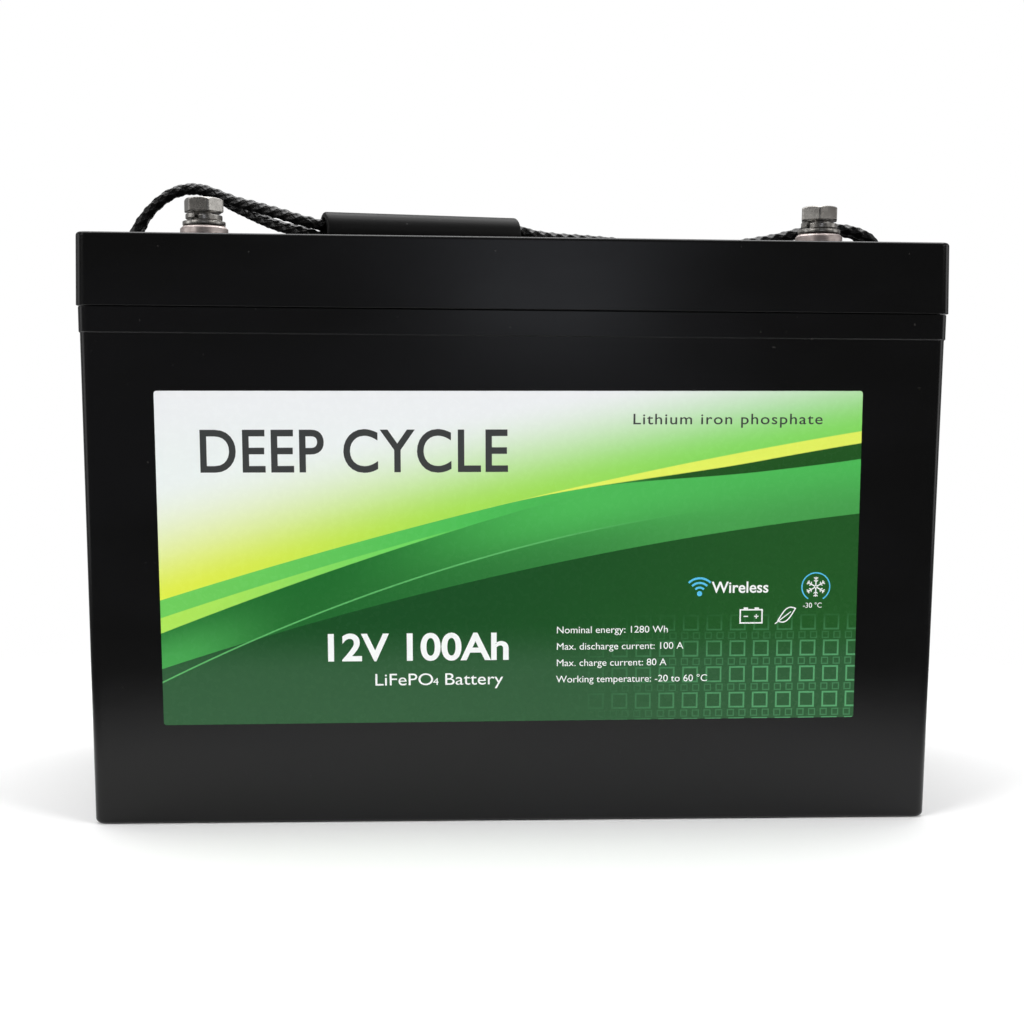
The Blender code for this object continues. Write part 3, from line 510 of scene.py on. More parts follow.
def glass_sheet():
    """Woven glass and epoxy sheet."""
    look = Look("glass_sheet")
    warp = look.node("TexWave", Vector=look.place(), Scale=420.0).outputs["Fac"]
    weft = look.node("TexWave", Vector=look.place((0.0, 1.0, 0.0)), Scale=420.0)
    weft.bands_direction = "Y"
    weave = look.math("MULTIPLY", warp, weft.outputs["Fac"])
    look.bump(weave, 0.3, 0.0001)
    return look.finish(
        look.mix(weave, srgb(172, 178, 128), srgb(206, 208, 164)),
        look.between(weave, 0.0, 1.0, 0.42, 0.55),
    )


def heater_film():
    """Silicone sheet over the winding heating track."""
    look = Look("heater_film")
    wave = look.node(
        "TexWave", Vector=look.place(), Scale=30.0, Distortion=1.5, Detail=1.0
    ).outputs["Fac"]
    track = look.between(wave, 0.45, 0.55)
    look.bump(track, 0.4, 0.0003)
    return look.finish(
        look.mix(track, srgb(176, 88, 30), srgb(214, 120, 52)),
        look.between(track, 0.0, 1.0, 0.50, 0.58),
    )


def slot_looks():
    """One look for each material slot of the record."""
    return {
        "case_plastic": moulded_plastic(),
        "nickel": metal(
            "nickel_plate", srgb(176, 163, 160), srgb(216, 204, 200), 0.40,
            stretch=(0.05, 0.05, 1.0)),
        "stainless": metal("stainless_steel", srgb(140, 137, 133), srgb(186, 183, 178), 0.26),
        "rope_braid": braid(),
        "grip_plastic": grip_plastic(),
        "aluminium": metal(
            "mill_aluminium", srgb(176, 178, 182), srgb(214, 216, 220), 0.36,
            stretch=(0.04, 1.0, 1.0)),
        "strap_steel": metal(
            "strap_steel", srgb(120, 123, 128), srgb(168, 170, 176), 0.34,
            stretch=(0.04, 1.0, 1.0)),
        "copper": metal("copper", srgb(168, 92, 58), srgb(222, 150, 112), 0.30),
        "cell_can": plain("cell_film", srgb(14, 58, 128), srgb(26, 84, 166), 0.34, 600.0, 0.08),
        "circuit_board": circuit_board(),
        "barrier_sheet": glass_sheet(),
        "foam": closed_cell_foam(),
        "rubber": plain("rubber", srgb(16, 16, 16), srgb(34, 34, 34), 0.70, 1200.0, 0.3),
        "heater_film": heater_film(),
        "red_sleeve": plain("red_sleeve", srgb(128, 10, 10), srgb(182, 24, 20), 0.46, 800.0),
        "black_sleeve": plain("black_sleeve", srgb(14, 14, 14), srgb(36, 36, 36), 0.46, 800.0),
    }


# --- Case and lid ----------------------------------------------------------------------------

# Sizes from here on are in millimetres, apart from the label's and the stage's. A half is (x, y).
MM = 0.001
LID_MM = LID_TOP / MM
LID_HALF_TOP = (153.2, 84.0)
LID_HALF_SKIRT = (153.7, 84.5)
LID_HALF_INSIDE = (151.2, 82.2)
LID_THICKNESS = 3.0
LID_EDGE_RADIUS = 1.3
SKIRT_BOTTOM = 183.8
BAND_BOTTOM = 174.5
BAND_HALF = (153.15, 84.0)
BAND_CHAMFER = 0.4
CASE_HALF_TOP = (152.8, 83.57)
CASE_HALF_BOTTOM = (152.35, 82.7)
CASE_HALF_TONGUE = (150.8, 81.8)
CASE_HALF_INSIDE = (149.1, 80.4)
CASE_FLOOR = 3.0
TONGUE_TOP = 199.4
BASE_EDGE_RADIUS = 1.8
FIT_GAP = 0.3  # that the CAD leaves between two parts
CORNER_RADIUS = 4.0
INNER_CORNER_RADIUS = 2.6
EDGE_SOFTNESS = 0.25  # rounding that the mould leaves on an edge drawn sharp
WALL_LEAN = math.atan(0.87 / 172.7)  # draft of the case's walls
POST_HOLE_RADIUS = 6.8
POST_HOLE_MOUTH = 0.4  # radius of the rounding at the mouth
ROPE_HOLE_MOUTH = 1.4
MARK_PLACE = 24.0  # of the plus and the minus, from the terminal towards the middle
MARK_HALF = 5.0
MARK_WIDTH = 2.0
MARK_RAISED = 0.4
TERMINALS = {"positive": 110.0, "negative": 76.0}  # how far each bolt head is turned


def shrink(half, amount):
    return (half[0] - amount, half[1] - amount)


def rounded_edge(half, radius, corner, z_face, z_wall, steps=8):
    """Levels of a rounded edge, from the flat face to the wall."""
    levels = []
    for i in range(steps + 1):
        angle = math.pi / 2 * i / steps
        inset = radius * (1 - math.sin(angle))
        z = z_wall + (z_face - z_wall) * math.cos(angle)
        levels.append(rounded_rectangle(shrink(half, inset), max(corner - inset, 0.5), z))
    return levels


def flatten_big_faces(thing):
    """Keeps the walls flat in the shading, and bends only the rounded edges."""
    weighted = thing.modifiers.new("normals", "WEIGHTED_NORMAL")
    weighted.keep_sharp = True
    weighted.weight = 100
    return apply_modifiers(thing)


def dress(thing, node, body, slot_name, looks):
    """Gives a piece its material and its body, and hides the CAD node it stands for."""
    thing.data.materials.clear()
    thing.data.materials.append(looks[slot_name])
    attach(thing, body)
    if node:
        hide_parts(node)
    return thing


def add_case(looks):
    ledge = SKIRT_BOTTOM - FIT_GAP
    band_start = BAND_BOTTOM + BAND_CHAMFER
    levels = rounded_edge(CASE_HALF_BOTTOM, BASE_EDGE_RADIUS, CORNER_RADIUS, 0.0, BASE_EDGE_RADIUS)
    levels.append(rounded_rectangle(CASE_HALF_TOP, CORNER_RADIUS, BAND_BOTTOM))
    levels.append(rounded_rectangle(BAND_HALF, CORNER_RADIUS, band_start))
    levels += rounded_edge(
        BAND_HALF, EDGE_SOFTNESS, CORNER_RADIUS, ledge, ledge - EDGE_SOFTNESS, steps=4)[::-1]
    levels.append(rounded_rectangle(CASE_HALF_TONGUE, INNER_CORNER_RADIUS, ledge))
    levels += rounded_edge(
        CASE_HALF_TONGUE, EDGE_SOFTNESS, INNER_CORNER_RADIUS, TONGUE_TOP,
        TONGUE_TOP - EDGE_SOFTNESS, steps=4)[::-1]
    levels.append(rounded_rectangle(CASE_HALF_INSIDE, INNER_CORNER_RADIUS, TONGUE_TOP))
    levels.append(rounded_rectangle(CASE_HALF_INSIDE, INNER_CORNER_RADIUS, CASE_FLOOR))
    case = mesh_from_rings("case_shell", levels, unit=MM)
    dress(flatten_big_faces(case), "case", "root", "case_plastic", looks)


def hole_cutter(x, y, radius, mouth):
    """Cuts a hole through the lid's top, with a rounded mouth."""
    bottom = LID_MM - LID_THICKNESS - 2.0
    profile = [(radius, bottom), (radius, LID_MM - mouth)]
    for i in range(1, 9):
        angle = math.pi / 2 * i / 8
        profile.append((
            radius + mouth * (1 - math.cos(angle)), LID_MM - mouth + mouth * math.sin(angle)
        ))
    profile.append((radius + mouth, LID_MM + 1.0))
    return turned("cutter", profile, segments=64, place=(x, y, 0))


def plus_and_minus():
    """Raised marks beside the terminals. The plus is a minus with a stroke on each side of it."""
    strokes = []
    for side, sign in (("positive", 1), ("negative", -1)):
        x, y, _ = JOINTS[side + "_bolt_turn"]["pos_m"]
        x = x / MM + sign * MARK_PLACE
        y = y / MM
        strokes.append(([(x - MARK_HALF, y), (x + MARK_HALF, y)], MARK_WIDTH))
        if side == "positive":
            inner = MARK_WIDTH / 2
            strokes.append(([(x, y - MARK_HALF), (x, y - inner)], MARK_WIDTH))
            strokes.append(([(x, y + inner), (x, y + MARK_HALF)], MARK_WIDTH))
    return strokes


def add_lid(looks):
    edge = rounded_edge(
        LID_HALF_TOP, LID_EDGE_RADIUS, CORNER_RADIUS, LID_MM, LID_MM - LID_EDGE_RADIUS)
    foot = rounded_edge(
        LID_HALF_SKIRT, EDGE_SOFTNESS, CORNER_RADIUS, SKIRT_BOTTOM,
        SKIRT_BOTTOM + EDGE_SOFTNESS, steps=4)
    levels = [
        rounded_rectangle(LID_HALF_INSIDE, INNER_CORNER_RADIUS, LID_MM - LID_THICKNESS),
        rounded_rectangle(LID_HALF_INSIDE, INNER_CORNER_RADIUS, SKIRT_BOTTOM),
        *foot, *edge[::-1],
    ]
    lid = mesh_from_rings("lid_cap", levels, unit=MM)
    for side in TERMINALS:
        x, y, _ = JOINTS[side + "_bolt_turn"]["pos_m"]
        cut_away(lid, hole_cutter(x / MM, y / MM, POST_HOLE_RADIUS, POST_HOLE_MOUTH))
    for x in (-ROPE_HOLE[0], ROPE_HOLE[0]):
        for y in (-ROPE_HOLE[1], ROPE_HOLE[1]):
            cut_away(lid, hole_cutter(x / MM, y / MM, ROPE_HOLE_RADIUS / MM, ROPE_HOLE_MOUTH))
    dress(flatten_big_faces(lid), "lid", "root", "case_plastic", looks)
    marks = strokes_object(
        "lid_polarity_marks", plus_and_minus(), LID_MM - 0.2, LID_MM + MARK_RAISED)
    dress(marks, None, "root", "case_plastic", looks)


# --- Terminals and grip ----------------------------------------------------------------------

THREAD_PITCH = 1.25
THREAD_DEPTH = 0.62
BORE_RADIUS = 4.33
BORE_THREAD_DEPTH = 0.18
BOLT_HALF_FLATS = 6.375
BOLT_HEAD_HEIGHT = 5.2
BOLT_LENGTH = 20.0
GRIP_RADIUS = 7.2
GRIP_BORE_RADIUS = 5.0
GRIP_LIP = 1.1  # radius of the rounding at its ends
FLAT_WASHER_SEAT = 5.5  # above the lid
SPLIT_WASHER_SEAT = 1.8  # above the foot of the flat washer
SPLIT_WASHER_TURN_DEG = 150  # of its gap, from the bolt head


def threaded_rings(radius, depth, z_start, z_end, segments=72, steps_each_turn=12):
    """Rings along a helical thread. depth is negative where the thread stands inwards."""
    count = round(abs(z_end - z_start) / THREAD_PITCH * steps_each_turn)
    angles = full_turn(segments)
    rings = []
    for z in np.linspace(z_start, z_end, count + 1):
        phase = (z / THREAD_PITCH - angles / (2 * math.pi)) % 1.0
        groove = np.clip(1.25 - 2.5 * np.abs(phase - 0.5) * 1.6, 0, 1)
        fade = min(1.0, abs(z - z_start) / 1.0, abs(z - z_end) / 1.0)
        rings.append(level_ring(radius - depth * groove * fade, angles, z))
    return rings


def post_rings():
    """A collar with a turned groove on a neck, and a threaded bore from above."""
    lid = LID_MM
    outer = [
        (6.0, lid - 17.0), (6.5, lid - 16.5), (6.5, lid + 0.3), (8.15, lid + 0.3),
        (8.45, lid + 0.4), (8.6, lid + 0.7), (8.6, lid + 1.3), (8.52, lid + 1.38),
        (8.52, lid + 1.62), (8.6, lid + 1.7), (8.6, lid + 4.2), (8.5, lid + 4.45),
        (7.75, lid + 5.15), (7.55, lid + 5.2), (4.9, lid + 5.2), (4.5, lid + 4.85),
    ]
    rings = [ring(radius, z, 72) for radius, z in outer]
    return rings + threaded_rings(
        BORE_RADIUS, -BORE_THREAD_DEPTH, lid + 4.6, lid - 10.6)


def flat_washer_profile(z):
    return [
        (4.4, z + 0.2), (4.6, z), (7.4, z), (7.6, z + 0.1), (7.7, z + 0.35),
        (7.7, z + 1.3), (7.6, z + 1.45), (7.45, z + 1.5), (4.55, z + 1.5), (4.4, z + 1.35),
    ]


def spring_washer_rings(z):
    """A split ring with a nearly square section, which climbs as it goes round."""
    inner, outer, thick, rise, soft = 4.4, 6.6, 1.7, 0.7, 0.2
    section = [
        (outer - soft, 0.0), (outer, soft), (outer, thick - soft), (outer - soft, thick),
        (inner + soft, thick), (inner, thick - soft), (inner, soft), (inner + soft, 0.0),
    ]
    sweep = math.radians(346.0)
    rings = []
    for i in range(121):
        angle = sweep * i / 120
        climb = z + rise * i / 120
        rings.append([(r * math.cos(angle), r * math.sin(angle), climb + h) for r, h in section])
    return rings


def bolt_rings():
    """Hexagon head whose chamfer leaves an arc on each face, over a threaded shank."""
    half_flats, height, length = BOLT_HALF_FLATS, BOLT_HEAD_HEIGHT, BOLT_LENGTH
    crown = half_flats * 0.955
    count = 144
    angles = full_turn(count)
    to_face = half_flats / np.cos(angles % (math.pi / 3) - math.pi / 6)
    corner = half_flats / math.cos(math.pi / 6)
    edge = np.minimum(to_face, corner * 0.985)
    top = height - (edge - crown) * math.tan(math.pi / 6)

    tip = [(3.0, -length), (3.6, -length + 0.4)]
    shank = threaded_rings(4.0, THREAD_DEPTH, -length + 0.6, -0.6, segments=count)
    head = [
        (4.0, -0.3), (4.1, 0.0), (half_flats * 0.93, 0.0), (half_flats * 0.95, 0.12),
        (half_flats * 0.95, 0.3), (edge * 0.975, 0.3), (edge, 0.5), (edge, top - 0.12),
        (edge - 0.08, top), (crown, height - 0.06), (crown - 0.12, height), (4.6, height),
        (4.3, height - 0.12), (1.5, height - 0.12),
    ]
    foot = [level_ring(radii, angles, z) for radii, z in tip]
    return foot + shank + [level_ring(radii, angles, z) for radii, z in head]


def add_terminals(looks):
    for side, turn_deg in TERMINALS.items():
        x, y, head_z = (value / MM for value in JOINTS[side + "_bolt_turn"]["pos_m"])
        seat = LID_MM + FLAT_WASHER_SEAT
        spin = math.radians(turn_deg)
        post = mesh_from_rings(side + "_post_turned", post_rings(), unit=MM, place=(x, y, 0))
        dress(post, side + "_post", "root", "nickel", looks)
        flat = turned(
            side + "_flat_washer_turned", flat_washer_profile(seat), closed=True, place=(x, y, 0))
        dress(flat, side + "_flat_washer", side + "_washers", "stainless", looks)
        split = mesh_from_rings(
            side + "_split_washer", spring_washer_rings(seat + SPLIT_WASHER_SEAT), unit=MM,
            place=(x, y, 0), spin=spin + math.radians(SPLIT_WASHER_TURN_DEG))
        dress(split, side + "_spring_washer", side + "_washers", "stainless", looks)
        bolt = mesh_from_rings(
            side + "_bolt_turned", bolt_rings(), unit=MM, place=(x, y, head_z), spin=spin,
            smooth_deg=28)
        dress(bolt, side + "_bolt", side + "_bolt", "stainless", looks)


def add_grip(looks):
    """Tube with a rounded lip at each end."""
    joint = JOINTS["grip_turn"]
    half = (Vector(GRIP_RIGHT) - Vector(GRIP_LEFT)).length / 2 / MM
    outer, bore, lip = GRIP_RADIUS, GRIP_BORE_RADIUS, GRIP_LIP
    end = [(bore, half - 0.3), (bore + 0.3, half)]
    for i in range(9):
        angle = math.pi / 2 * i / 8
        end.append((outer - lip * (1 - math.sin(angle)), half - lip * (1 - math.cos(angle))))
    end.append((outer, half - 6.0))
    other_end = [(radius, -z) for radius, z in end[::-1]]
    grip = turned("grip_sleeve", end + other_end, segments=112, closed=True)
    upright = Vector((0, 0, 1)).rotation_difference(Vector(joint["axis"])).to_matrix().to_4x4()
    grip.matrix_world = Matrix.Translation(joint["pos_m"]) @ upright
    dress(grip, "grip_tube", "grip", "grip_plastic", looks)


# --- Label -----------------------------------------------------------------------------------

LABEL_SIZE = (0.2504, 0.1184)  # in metres
LABEL_TURN_DEG = 0.4
LABEL_LIFT = 0.425  # from the wall to the middle of the CAD label, which stands off it
LABEL_BACK = 0.03  # levels of the film and the print, from the wall
LABEL_FACE = 0.24
PRINT_FACE = 0.26
WHITE = (242, 244, 243)
INK = (58, 60, 60)
BLUE = (86, 190, 232)
CAPITAL_HEIGHT = 0.729  # of the built-in font, as a share of its size


def label_frame():
    """The label's own frame: x to the right, y up and z out of the wall, from its middle."""
    low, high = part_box("front_label")
    upright = Matrix.Rotation(math.pi / 2 + WALL_LEAN, 4, "X")
    turn = Matrix.Rotation(math.radians(LABEL_TURN_DEG), 4, "Z")
    place = Matrix.Translation((low + high) / 2) @ upright @ turn
    return place @ Matrix.Translation((0, 0, -LABEL_LIFT * MM))


def label_art():
    """Printed film: swept green bands under a pale field, with a faint grid of squares."""
    look = Look("label_print")
    axes = look.node("SeparateXYZ", Vector=look.place()).outputs
    u = look.math("MULTIPLY_ADD", axes[0], 1 / LABEL_SIZE[0], 0.5)
    v = look.math("MULTIPLY_ADD", axes[1], 1 / LABEL_SIZE[1], 0.5)

    def curve(start, slope, bend):
        return look.math("MULTIPLY_ADD", u, look.math("MULTIPLY_ADD", u, bend, slope), start)

    def over(edge, softness=0.0014):
        """1 above an edge and 0 under it."""
        return look.between(look.math("SUBTRACT", v, edge), -softness, softness)

    def lower(edge, most, start, end):
        """An edge that leaves another one and ends up to most under it."""
        return look.math("SUBTRACT", edge, look.between(u, start, end, 0.0, most))

    def along(start, end, first, second):
        """A colour that changes from left to right."""
        return look.mix(look.between(u, start, end), srgb(*first), srgb(*second))

    crest = curve(0.38, 0.66, -0.16)
    stripe_edge = lower(crest, 0.036, 0.48, 0.86)
    wedge_edge = lower(stripe_edge, 0.048, 0.58, 1.02)
    band_top = curve(0.28, 0.82, -0.21)
    lime_top = curve(0.326, 0.70, -0.17)
    band_foot = curve(0.172, 0.685, -0.226)
    hairline = curve(0.131, 1.035, -0.485)

    field = look.mix(
        look.between(v, 0.14, 0.31), along(0.2, 1.0, (50, 90, 58), (47, 88, 55)),
        along(0.3, 1.0, (26, 75, 36), (35, 85, 38)),
    )
    in_band = look.between(look.math("SUBTRACT", v, band_foot), 0.0, 0.17)
    band_shade = along(0.2, 0.8, (37, 105, 47), (71, 155, 77))
    band = look.mix(
        in_band,
        look.mix(look.between(u, 0.0, 0.2), srgb(71, 159, 79), band_shade),
        along(0.22, 0.62, (33, 104, 45), (78, 183, 87)),
    )
    below_line = look.math("SUBTRACT", 1.0, over(hairline))
    shadow = look.math("MULTIPLY", below_line, look.between(u, 0.85, 0.5, 0.0, 0.35))
    band = look.mix(shadow, band, srgb(30, 92, 44))
    off_line = look.math("ABSOLUTE", look.math("SUBTRACT", v, hairline))
    line = look.math(
        "MULTIPLY", look.between(off_line, 0.0035, 0.0012), look.between(u, 0.78, 0.45, 0.0, 0.75))
    paint = look.mix(over(band_foot), field, band)
    paint = look.mix(line, paint, srgb(104, 192, 112))
    bright = along(0.0, 0.5, (108, 198, 90), (78, 187, 87))
    bright_share = look.math("MULTIPLY", over(band_top), look.between(u, 0.66, 0.42))
    paint = look.mix(bright_share, paint, bright)
    under_lime = look.math("SUBTRACT", 1.0, over(lime_top))
    lime_share = look.math("MULTIPLY", over(band_top), under_lime)
    lime_share = look.math("MULTIPLY", lime_share, look.between(u, 0.45, 0.36))
    paint = look.mix(lime_share, paint, along(0.0, 0.36, (170, 222, 88), (112, 210, 96)))
    paint = look.mix(over(wedge_edge), paint, along(0.5, 0.75, (84, 200, 96), (36, 84, 36)))
    paint = look.mix(over(stripe_edge), paint, srgb(226, 240, 98))

    height = look.math("SUBTRACT", v, crest)
    fade = look.between(look.math("DIVIDE", height, curve(0.36, -0.2, 0.13)), 0.0, 1.0)
    lime = along(0.3, 0.9, (170, 222, 84), (132, 216, 98))
    glow = look.mix(look.between(u, 0.0, 0.45), srgb(217, 230, 74), lime)
    sky = look.mix(look.between(v, 0.75, 1.0), srgb(234, 240, 238), srgb(238, 240, 242))
    paint = look.mix(over(crest), paint, look.mix(fade, glow, sky))

    def squares(pitch_x, pitch_y, shift_y, half, stroke):
        """Outlines of plain squares on a grid."""
        sides = []
        for axis, pitch, shift in ((axes[0], pitch_x, 0.0), (axes[1], pitch_y, shift_y)):
            cell = look.math("FRACT", look.math("MULTIPLY_ADD", axis, 1 / pitch, 30.0 + shift))
            off_middle = look.math("ABSOLUTE", look.math("SUBTRACT", cell, 0.5))
            sides.append(look.math("MULTIPLY", off_middle, pitch))
        reach = look.math("MAXIMUM", *sides)
        off = look.math("ABSOLUTE", look.math("SUBTRACT", reach, half))
        return look.between(off, stroke * 0.7, stroke * 0.35)

    grid = look.math("MAXIMUM", squares(0.0086, 0.0095, 0.0, 0.0026, 0.0006), look.math(
        "MULTIPLY", squares(0.0043, 0.0095, 0.5, 0.0011, 0.0004), 0.45))
    grid_share = look.math("MULTIPLY", grid, look.math(
        "MULTIPLY", look.between(u, 0.55, 0.94), look.between(v, 0.36, 0.16)))
    paint = look.mix(look.math("MULTIPLY", grid_share, 0.8), paint, srgb(92, 164, 112))

    ripple = look.noise(70.0, detail=2.0)
    look.bump(ripple, 0.04, 0.0004)
    look.shader.inputs["Specular IOR Level"].default_value = LABEL_SHINE
    return look.finish(paint, look.between(look.noise(400.0), 0.3, 0.7, 0.22, 0.30))


def ink(name, colour):
    """Screen-printed ink, with a slightly uneven film."""
    look = Look(name)
    film = look.noise(900.0, detail=2.0)
    darker = tuple(value * 0.94 for value in srgb(*colour))
    look.bump(film, 0.05, 0.00005)
    return look.finish(
        look.mix(film, srgb(*colour), darker), look.between(film, 0.3, 0.7, 0.38, 0.46))


def letters(words, left, baseline, height, stretch=1.0, bold=0.0, spacing=1.0):
    """Flat letters of the built-in font, whose capitals are this high in millimetres."""
    text = bpy.data.curves.new("letters", "FONT")
    text.body = words
    text.size = height / CAPITAL_HEIGHT
    text.offset = bold * height
    text.space_character = spacing
    text.extrude = (PRINT_FACE - LABEL_FACE + 0.1) / 2
    text.resolution_u = 6
    holder = bpy.data.objects.new("letters", text)
    bpy.context.scene.collection.objects.link(holder)
    bpy.context.view_layer.update()
    graph = bpy.context.evaluated_depsgraph_get()
    mesh = bpy.data.meshes.new_from_object(holder.evaluated_get(graph))
    bpy.data.objects.remove(holder)
    mesh.transform(Matrix.Scale(stretch, 4, (1, 0, 0)))
    mesh.transform(Matrix.Translation((left, baseline, PRINT_FACE - text.extrude)))
    return mesh


def arc(centre, radius, start_deg, end_deg, steps=28):
    angles = np.radians(np.linspace(start_deg, end_deg, steps))
    return [(centre[0] + radius * math.cos(a), centre[1] + radius * math.sin(a)) for a in angles]


def stroke_rings(points, width, bottom, top):
    """A line of rectangular section along a flat path. A path that ends where it starts closes."""
    points = np.asarray(points, float)
    closed = np.allclose(points[0], points[-1]) and len(points) > 2
    if closed:
        points = points[:-1]
        ahead, behind = np.roll(points, -1, axis=0), np.roll(points, 1, axis=0)
    else:
        ahead = np.vstack([points[1:], 2 * points[-1] - points[-2]])
        behind = np.vstack([2 * points[0] - points[1], points[:-1]])
    after = (ahead - points) / np.linalg.norm(ahead - points, axis=1)[:, None]
    before = (points - behind) / np.linalg.norm(points - behind, axis=1)[:, None]
    along = after + before
    along /= np.linalg.norm(along, axis=1)[:, None]
    side = np.stack([-along[:, 1], along[:, 0]], axis=1)
    across = np.stack([-after[:, 1], after[:, 0]], axis=1)
    reach = width / 2 / np.clip((side * across).sum(1), 0.3, 1)
    left, right = points + side * reach[:, None], points - side * reach[:, None]
    rings = [
        [(*l, bottom), (*l, top), (*r, top), (*r, bottom)] for l, r in zip(left, right)
    ]
    return rings, closed


def strokes_object(name, strokes, bottom, top):
    """One object from many strokes, each a path and its width in millimetres."""
    shape = bmesh.new()
    for points, width in strokes:
        rings, closed = stroke_rings(points, width, bottom, top)
        part = mesh_from_rings("stroke", rings, closed=closed, unit=MM)
        shape.from_mesh(part.data)
        bpy.data.objects.remove(part)
    mesh = bpy.data.meshes.new(name)
    shape.to_mesh(mesh)
    shape.free()
    return add_object(name, mesh)


def add_print(name, colour, words, strokes, frame_matrix):
    """All the print of one colour: letters and drawn symbols."""
    thing = strokes_object(name, strokes, LABEL_FACE - 0.1, PRINT_FACE)
    shape = bmesh.new()
    shape.from_mesh(thing.data)
    for entry in words:
        mesh = letters(*entry)
        mesh.transform(Matrix.Scale(MM, 4))
        shape.from_mesh(mesh)
    bmesh.ops.remove_doubles(shape, verts=shape.verts, dist=1e-6)
    shape.to_mesh(thing.data)
    shape.free()
    thing.data.shade_flat()
    thing.data.materials.append(ink(name + "_ink", colour))
    thing.matrix_world = frame_matrix
    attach(thing, "root")


def snowflake(centre, size):
    """Six arms, each with two pairs of barbs."""
    strokes = []
    for k in range(6):
        angle = math.pi / 3 * k + math.pi / 6
        out = np.array([math.cos(angle), math.sin(angle)])
        strokes.append(([np.array(centre) + out * 0.3, np.array(centre) + out * size], 0.42))
        for share in (0.5, 0.78):
            root = np.array(centre) + out * size * share
            for turn in (-0.9, 0.9):
                tip = np.array([math.cos(angle + turn), math.sin(angle + turn)])
                strokes.append(([root, root + tip * size * 0.27], 0.34))
    return strokes


def battery_symbol(x, y):
    """Outline of a battery with its two terminals, a minus and a plus."""
    def stroke(width, *points):
        return [(x + right, y + up) for right, up in points], width

    return [
        stroke(0.5, (-4, -2.4), (4, -2.4), (4, 2.4), (-4, 2.4), (-4, -2.4)),
        stroke(0.7, (-2.8, 2.9), (-1.2, 2.9)), stroke(0.7, (1.2, 2.9), (2.8, 2.9)),
        stroke(0.4, (-2.7, 0), (-1.1, 0)), stroke(0.4, (1.1, 0), (2.7, 0)),
        stroke(0.4, (1.9, 0.3), (1.9, 0.8)), stroke(0.4, (1.9, -0.8), (1.9, -0.3)),
    ]


def leaf_symbol(x, y):
    """A leaf with its middle vein."""
    def side(bulge, start, end):
        return [(x - 3.2 + 6.4 * t, y - 2.2 + 4.6 * t + bulge * math.sin(math.pi * t))
                for t in np.linspace(start, end, 14)]

    outline = side(2.2, 0, 1) + side(-2.2, 1, 0)[1:]
    return [(outline, 0.42), ([(x - 4.2, y - 3.2), (x + 1.6, y + 1.2)], 0.36)]


def add_label(looks):
    frame_matrix = label_frame()
    half = (LABEL_SIZE[0] / 2 / MM, LABEL_SIZE[1] / 2 / MM)
    levels = [
        rounded_rectangle(half, 1.0, LABEL_BACK), rounded_rectangle(half, 1.0, LABEL_FACE - 0.05),
        rounded_rectangle(shrink(half, 0.05), 0.95, LABEL_FACE),
    ]
    label = mesh_from_rings("label_film", levels, unit=MM)
    label.matrix_world = frame_matrix
    dress(label, "front_label", "root", "label_film", looks)
    ring_centre, waves = (110.0, -11.0), (67.5, -13.2)
    add_print("label_print_dark", INK, [
        ("DEEP CYCLE", -111.0, 31.0, 15.5, 0.90, 0.014, 1.04),
        ("Lithium iron phosphate", 42.4, 47.5, 3.9, 1.20, 0.006, 1.12),
    ], [], frame_matrix)
    add_print("label_print_white", WHITE, [
        ("12V 100Ah", -69.0, -36.4, 10.0, 1.09, 0.03),
        ("LiFePO", -50.1, -45.6, 4.5, 1.17),
        ("4", -28.9, -45.6, 2.7, 1.17),
        ("Battery", -25.0, -45.6, 4.5, 1.17),
        ("Nominal energy: 1280 Wh", 15.6, -27.2, 2.6, 1.06),
        ("Max. discharge current: 100 A", 15.6, -33.2, 2.6, 1.06),
        ("Max. charge current: 80 A", 15.6, -39.2, 2.6, 1.06),
        ("Working temperature: -20 to 60 °C", 15.6, -45.2, 2.6, 1.06),
        ("Wireless", 72.0, -12.9, 4.2, 1.0, 0.02),
        ("-30 °C", 105.4, -18.6, 1.9),
    ], snowflake(ring_centre, 3.6) + battery_symbol(86.5, -21.6) + leaf_symbol(99.5, -21.2),
        frame_matrix)
    blue = [(arc(ring_centre, 5.1, -58, 238, 60), 0.45), (arc(waves, 0.5, 0, 360, 12), 0.9)]
    blue += [(arc(waves, radius, 45, 135), 0.75) for radius in (2.2, 3.9, 5.6)]
    add_print("label_print_blue", BLUE, [], blue, frame_matrix)


# --- Stage and light -------------------------------------------------------------------------


# Places and sizes in metres
FLOOR_RADIUS = 3.0
FLOOR_GAP = 0.0002  # under the battery
FLOOR_FADE = (0.24, 0.44)  # from the middle, where the floor starts and ends to fade


def add_floor():
    """A pale floor that fades out well away from the battery."""
    outline = ring(FLOOR_RADIUS, 0.0, 128)
    mesh = bpy.data.meshes.new("floor")
    mesh.from_pydata([tuple(point) for point in outline], [], [list(range(len(outline)))])
    floor = bpy.data.objects.new("floor", mesh)
    bpy.context.scene.collection.objects.link(floor)
    floor.location.z = CAD_BOX[0].z - FLOOR_GAP
    look = Look("floor_paint")
    distance = look.node("VectorMath", Vector=look.place())
    distance.operation = "LENGTH"
    edge = look.between(distance.outputs["Value"], FLOOR_FADE[0], FLOOR_FADE[1])
    look.finish(srgb(250, 250, 250), 0.9)
    clear = look.node("BsdfTransparent")
    blend = look.node("MixShader", Fac=edge)
    look.tree.links.new(look.shader.outputs[0], blend.inputs[1])
    look.tree.links.new(clear.outputs[0], blend.inputs[2])
    look.tree.links.new(blend.outputs[0], look.tree.nodes["Material Output"].inputs[0])
    mesh.materials.append(look.material)


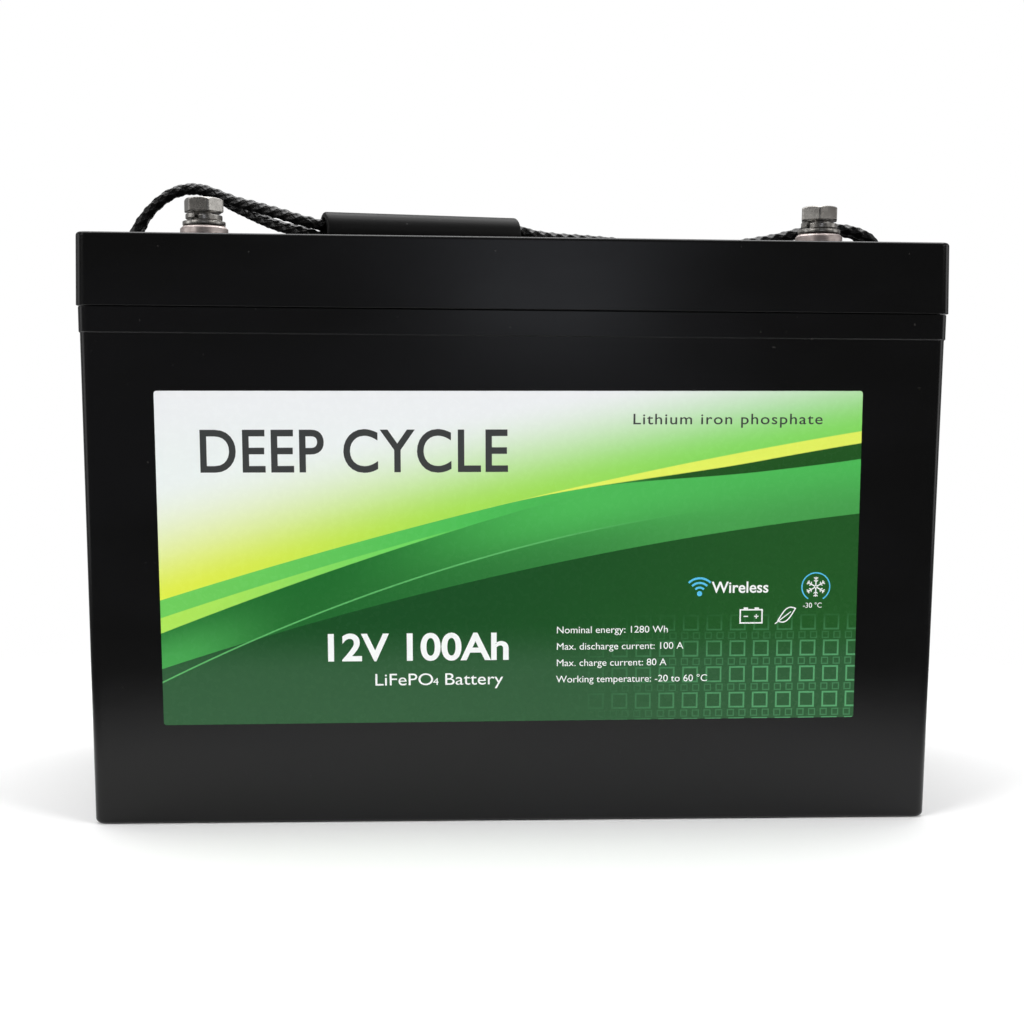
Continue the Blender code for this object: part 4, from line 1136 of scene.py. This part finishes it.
# The keys light surfaces without showing in their gloss, and the cards only show in it.
LIGHTS = {
    # name: place, point it faces, width and height, power in watts, colour
    "overhead": ((0.0, 0.35, 1.30), (0.0, 0.0, 0.1), (1.6, 1.1), 19.0, (1.0, 1.0, 1.0)),
    "key_left": ((-1.35, -1.15, 0.95), (0.0, -0.08, 0.10), (0.8, 0.9), 22.9, (1.0, 1.0, 1.0)),
    "key_right": ((1.45, -1.15, 0.95), (0.0, -0.08, 0.10), (0.8, 0.9), 22.9, (1.0, 1.0, 1.0)),
    "side_left": ((-1.2, -0.1, 0.35), (-0.1, -0.05, 0.2), (0.5, 0.7), 1.4, (1.0, 1.0, 1.0)),
    "side_right": ((1.2, -0.1, 0.35), (0.1, -0.05, 0.2), (0.5, 0.7), 1.4, (1.0, 1.0, 1.0)),
    "card_left": ((-1.35, -1.15, 0.95), (0.0, -0.08, 0.20), (0.8, 0.9), 3.8, (1.0, 0.98, 0.96)),
    "card_right": ((1.45, -1.15, 0.95), (0.0, -0.08, 0.20), (0.8, 0.9), 3.2, (1.0, 0.98, 0.96)),
    "skirt_glow": ((0.17, -2.0, 0.47), (0.03, -0.08, 0.2), (0.30, 0.5), 0.6, (0.86, 0.90, 1.0)),
}
WORLD_SHADE = 0.09  # brightness of the room below and in front
WORLD_GLOW = 0.35  # brightness above and behind
WORLD_LEAN = 0.8  # weight of the height, where the distance back has 1
WORLD_SPAN = (-0.1, 0.9)  # of their sum, from the one brightness to the other


def add_lights():
    for name, (place, aim, size, power, colour) in LIGHTS.items():
        lamp = bpy.data.lights.new(name, "AREA")
        lamp.shape = "RECTANGLE"
        lamp.size, lamp.size_y = size
        lamp.energy = power
        lamp.color = colour
        thing = bpy.data.objects.new(name, lamp)
        bpy.context.scene.collection.objects.link(thing)
        thing.location = place
        thing.rotation_euler = (Vector(aim) - Vector(place)).to_track_quat("-Z", "Y").to_euler()
        thing.visible_camera = False
        thing.visible_glossy = not name.startswith("key")
        thing.visible_diffuse = not name.startswith("card")


def add_world():
    """White behind everything the camera sees, and a room that is bright above and behind."""
    world = bpy.data.worlds.new("studio")
    world.use_nodes = True
    tree = world.node_tree
    back = tree.nodes["Background"]
    path = tree.nodes.new("ShaderNodeLightPath")
    place = tree.nodes.new("ShaderNodeTexCoord")
    split = tree.nodes.new("ShaderNodeSeparateXYZ")
    tree.links.new(place.outputs["Generated"], split.inputs[0])
    lean = tree.nodes.new("ShaderNodeMath")
    lean.operation = "MULTIPLY_ADD"
    tree.links.new(split.outputs[2], lean.inputs[0])
    lean.inputs[1].default_value = WORLD_LEAN
    tree.links.new(split.outputs[1], lean.inputs[2])
    glow = tree.nodes.new("ShaderNodeMapRange")
    glow.interpolation_type = "SMOOTHSTEP"
    tree.links.new(lean.outputs[0], glow.inputs[0])
    for index, value in enumerate((*WORLD_SPAN, WORLD_SHADE, WORLD_GLOW), start=1):
        glow.inputs[index].default_value = value
    seen = tree.nodes.new("ShaderNodeMath")
    seen.operation = "MAXIMUM"
    tree.links.new(glow.outputs[0], seen.inputs[0])
    tree.links.new(path.outputs["Is Camera Ray"], seen.inputs[1])
    tree.links.new(seen.outputs[0], back.inputs["Strength"])
    back.inputs["Color"].default_value = (1.0, 1.0, 1.0, 1.0)
    bpy.context.scene.world = world
    bpy.context.scene.view_settings.view_transform = "Standard"


def main():
    add_camera()
    looks = slot_looks()
    add_ropes(looks["rope_braid"])
    looks["label_film"] = label_art()
    add_case(looks)
    add_lid(looks)
    add_terminals(looks)
    add_grip(looks)
    add_label(looks)
    for part in frame["record"]["subparts"]:
        thing = frame["nodes"][part["node"]]
        for place in thing.material_slots:
            place.material = looks[part["material_slot"]]
    add_floor()
    add_lights()
    add_world()


main()
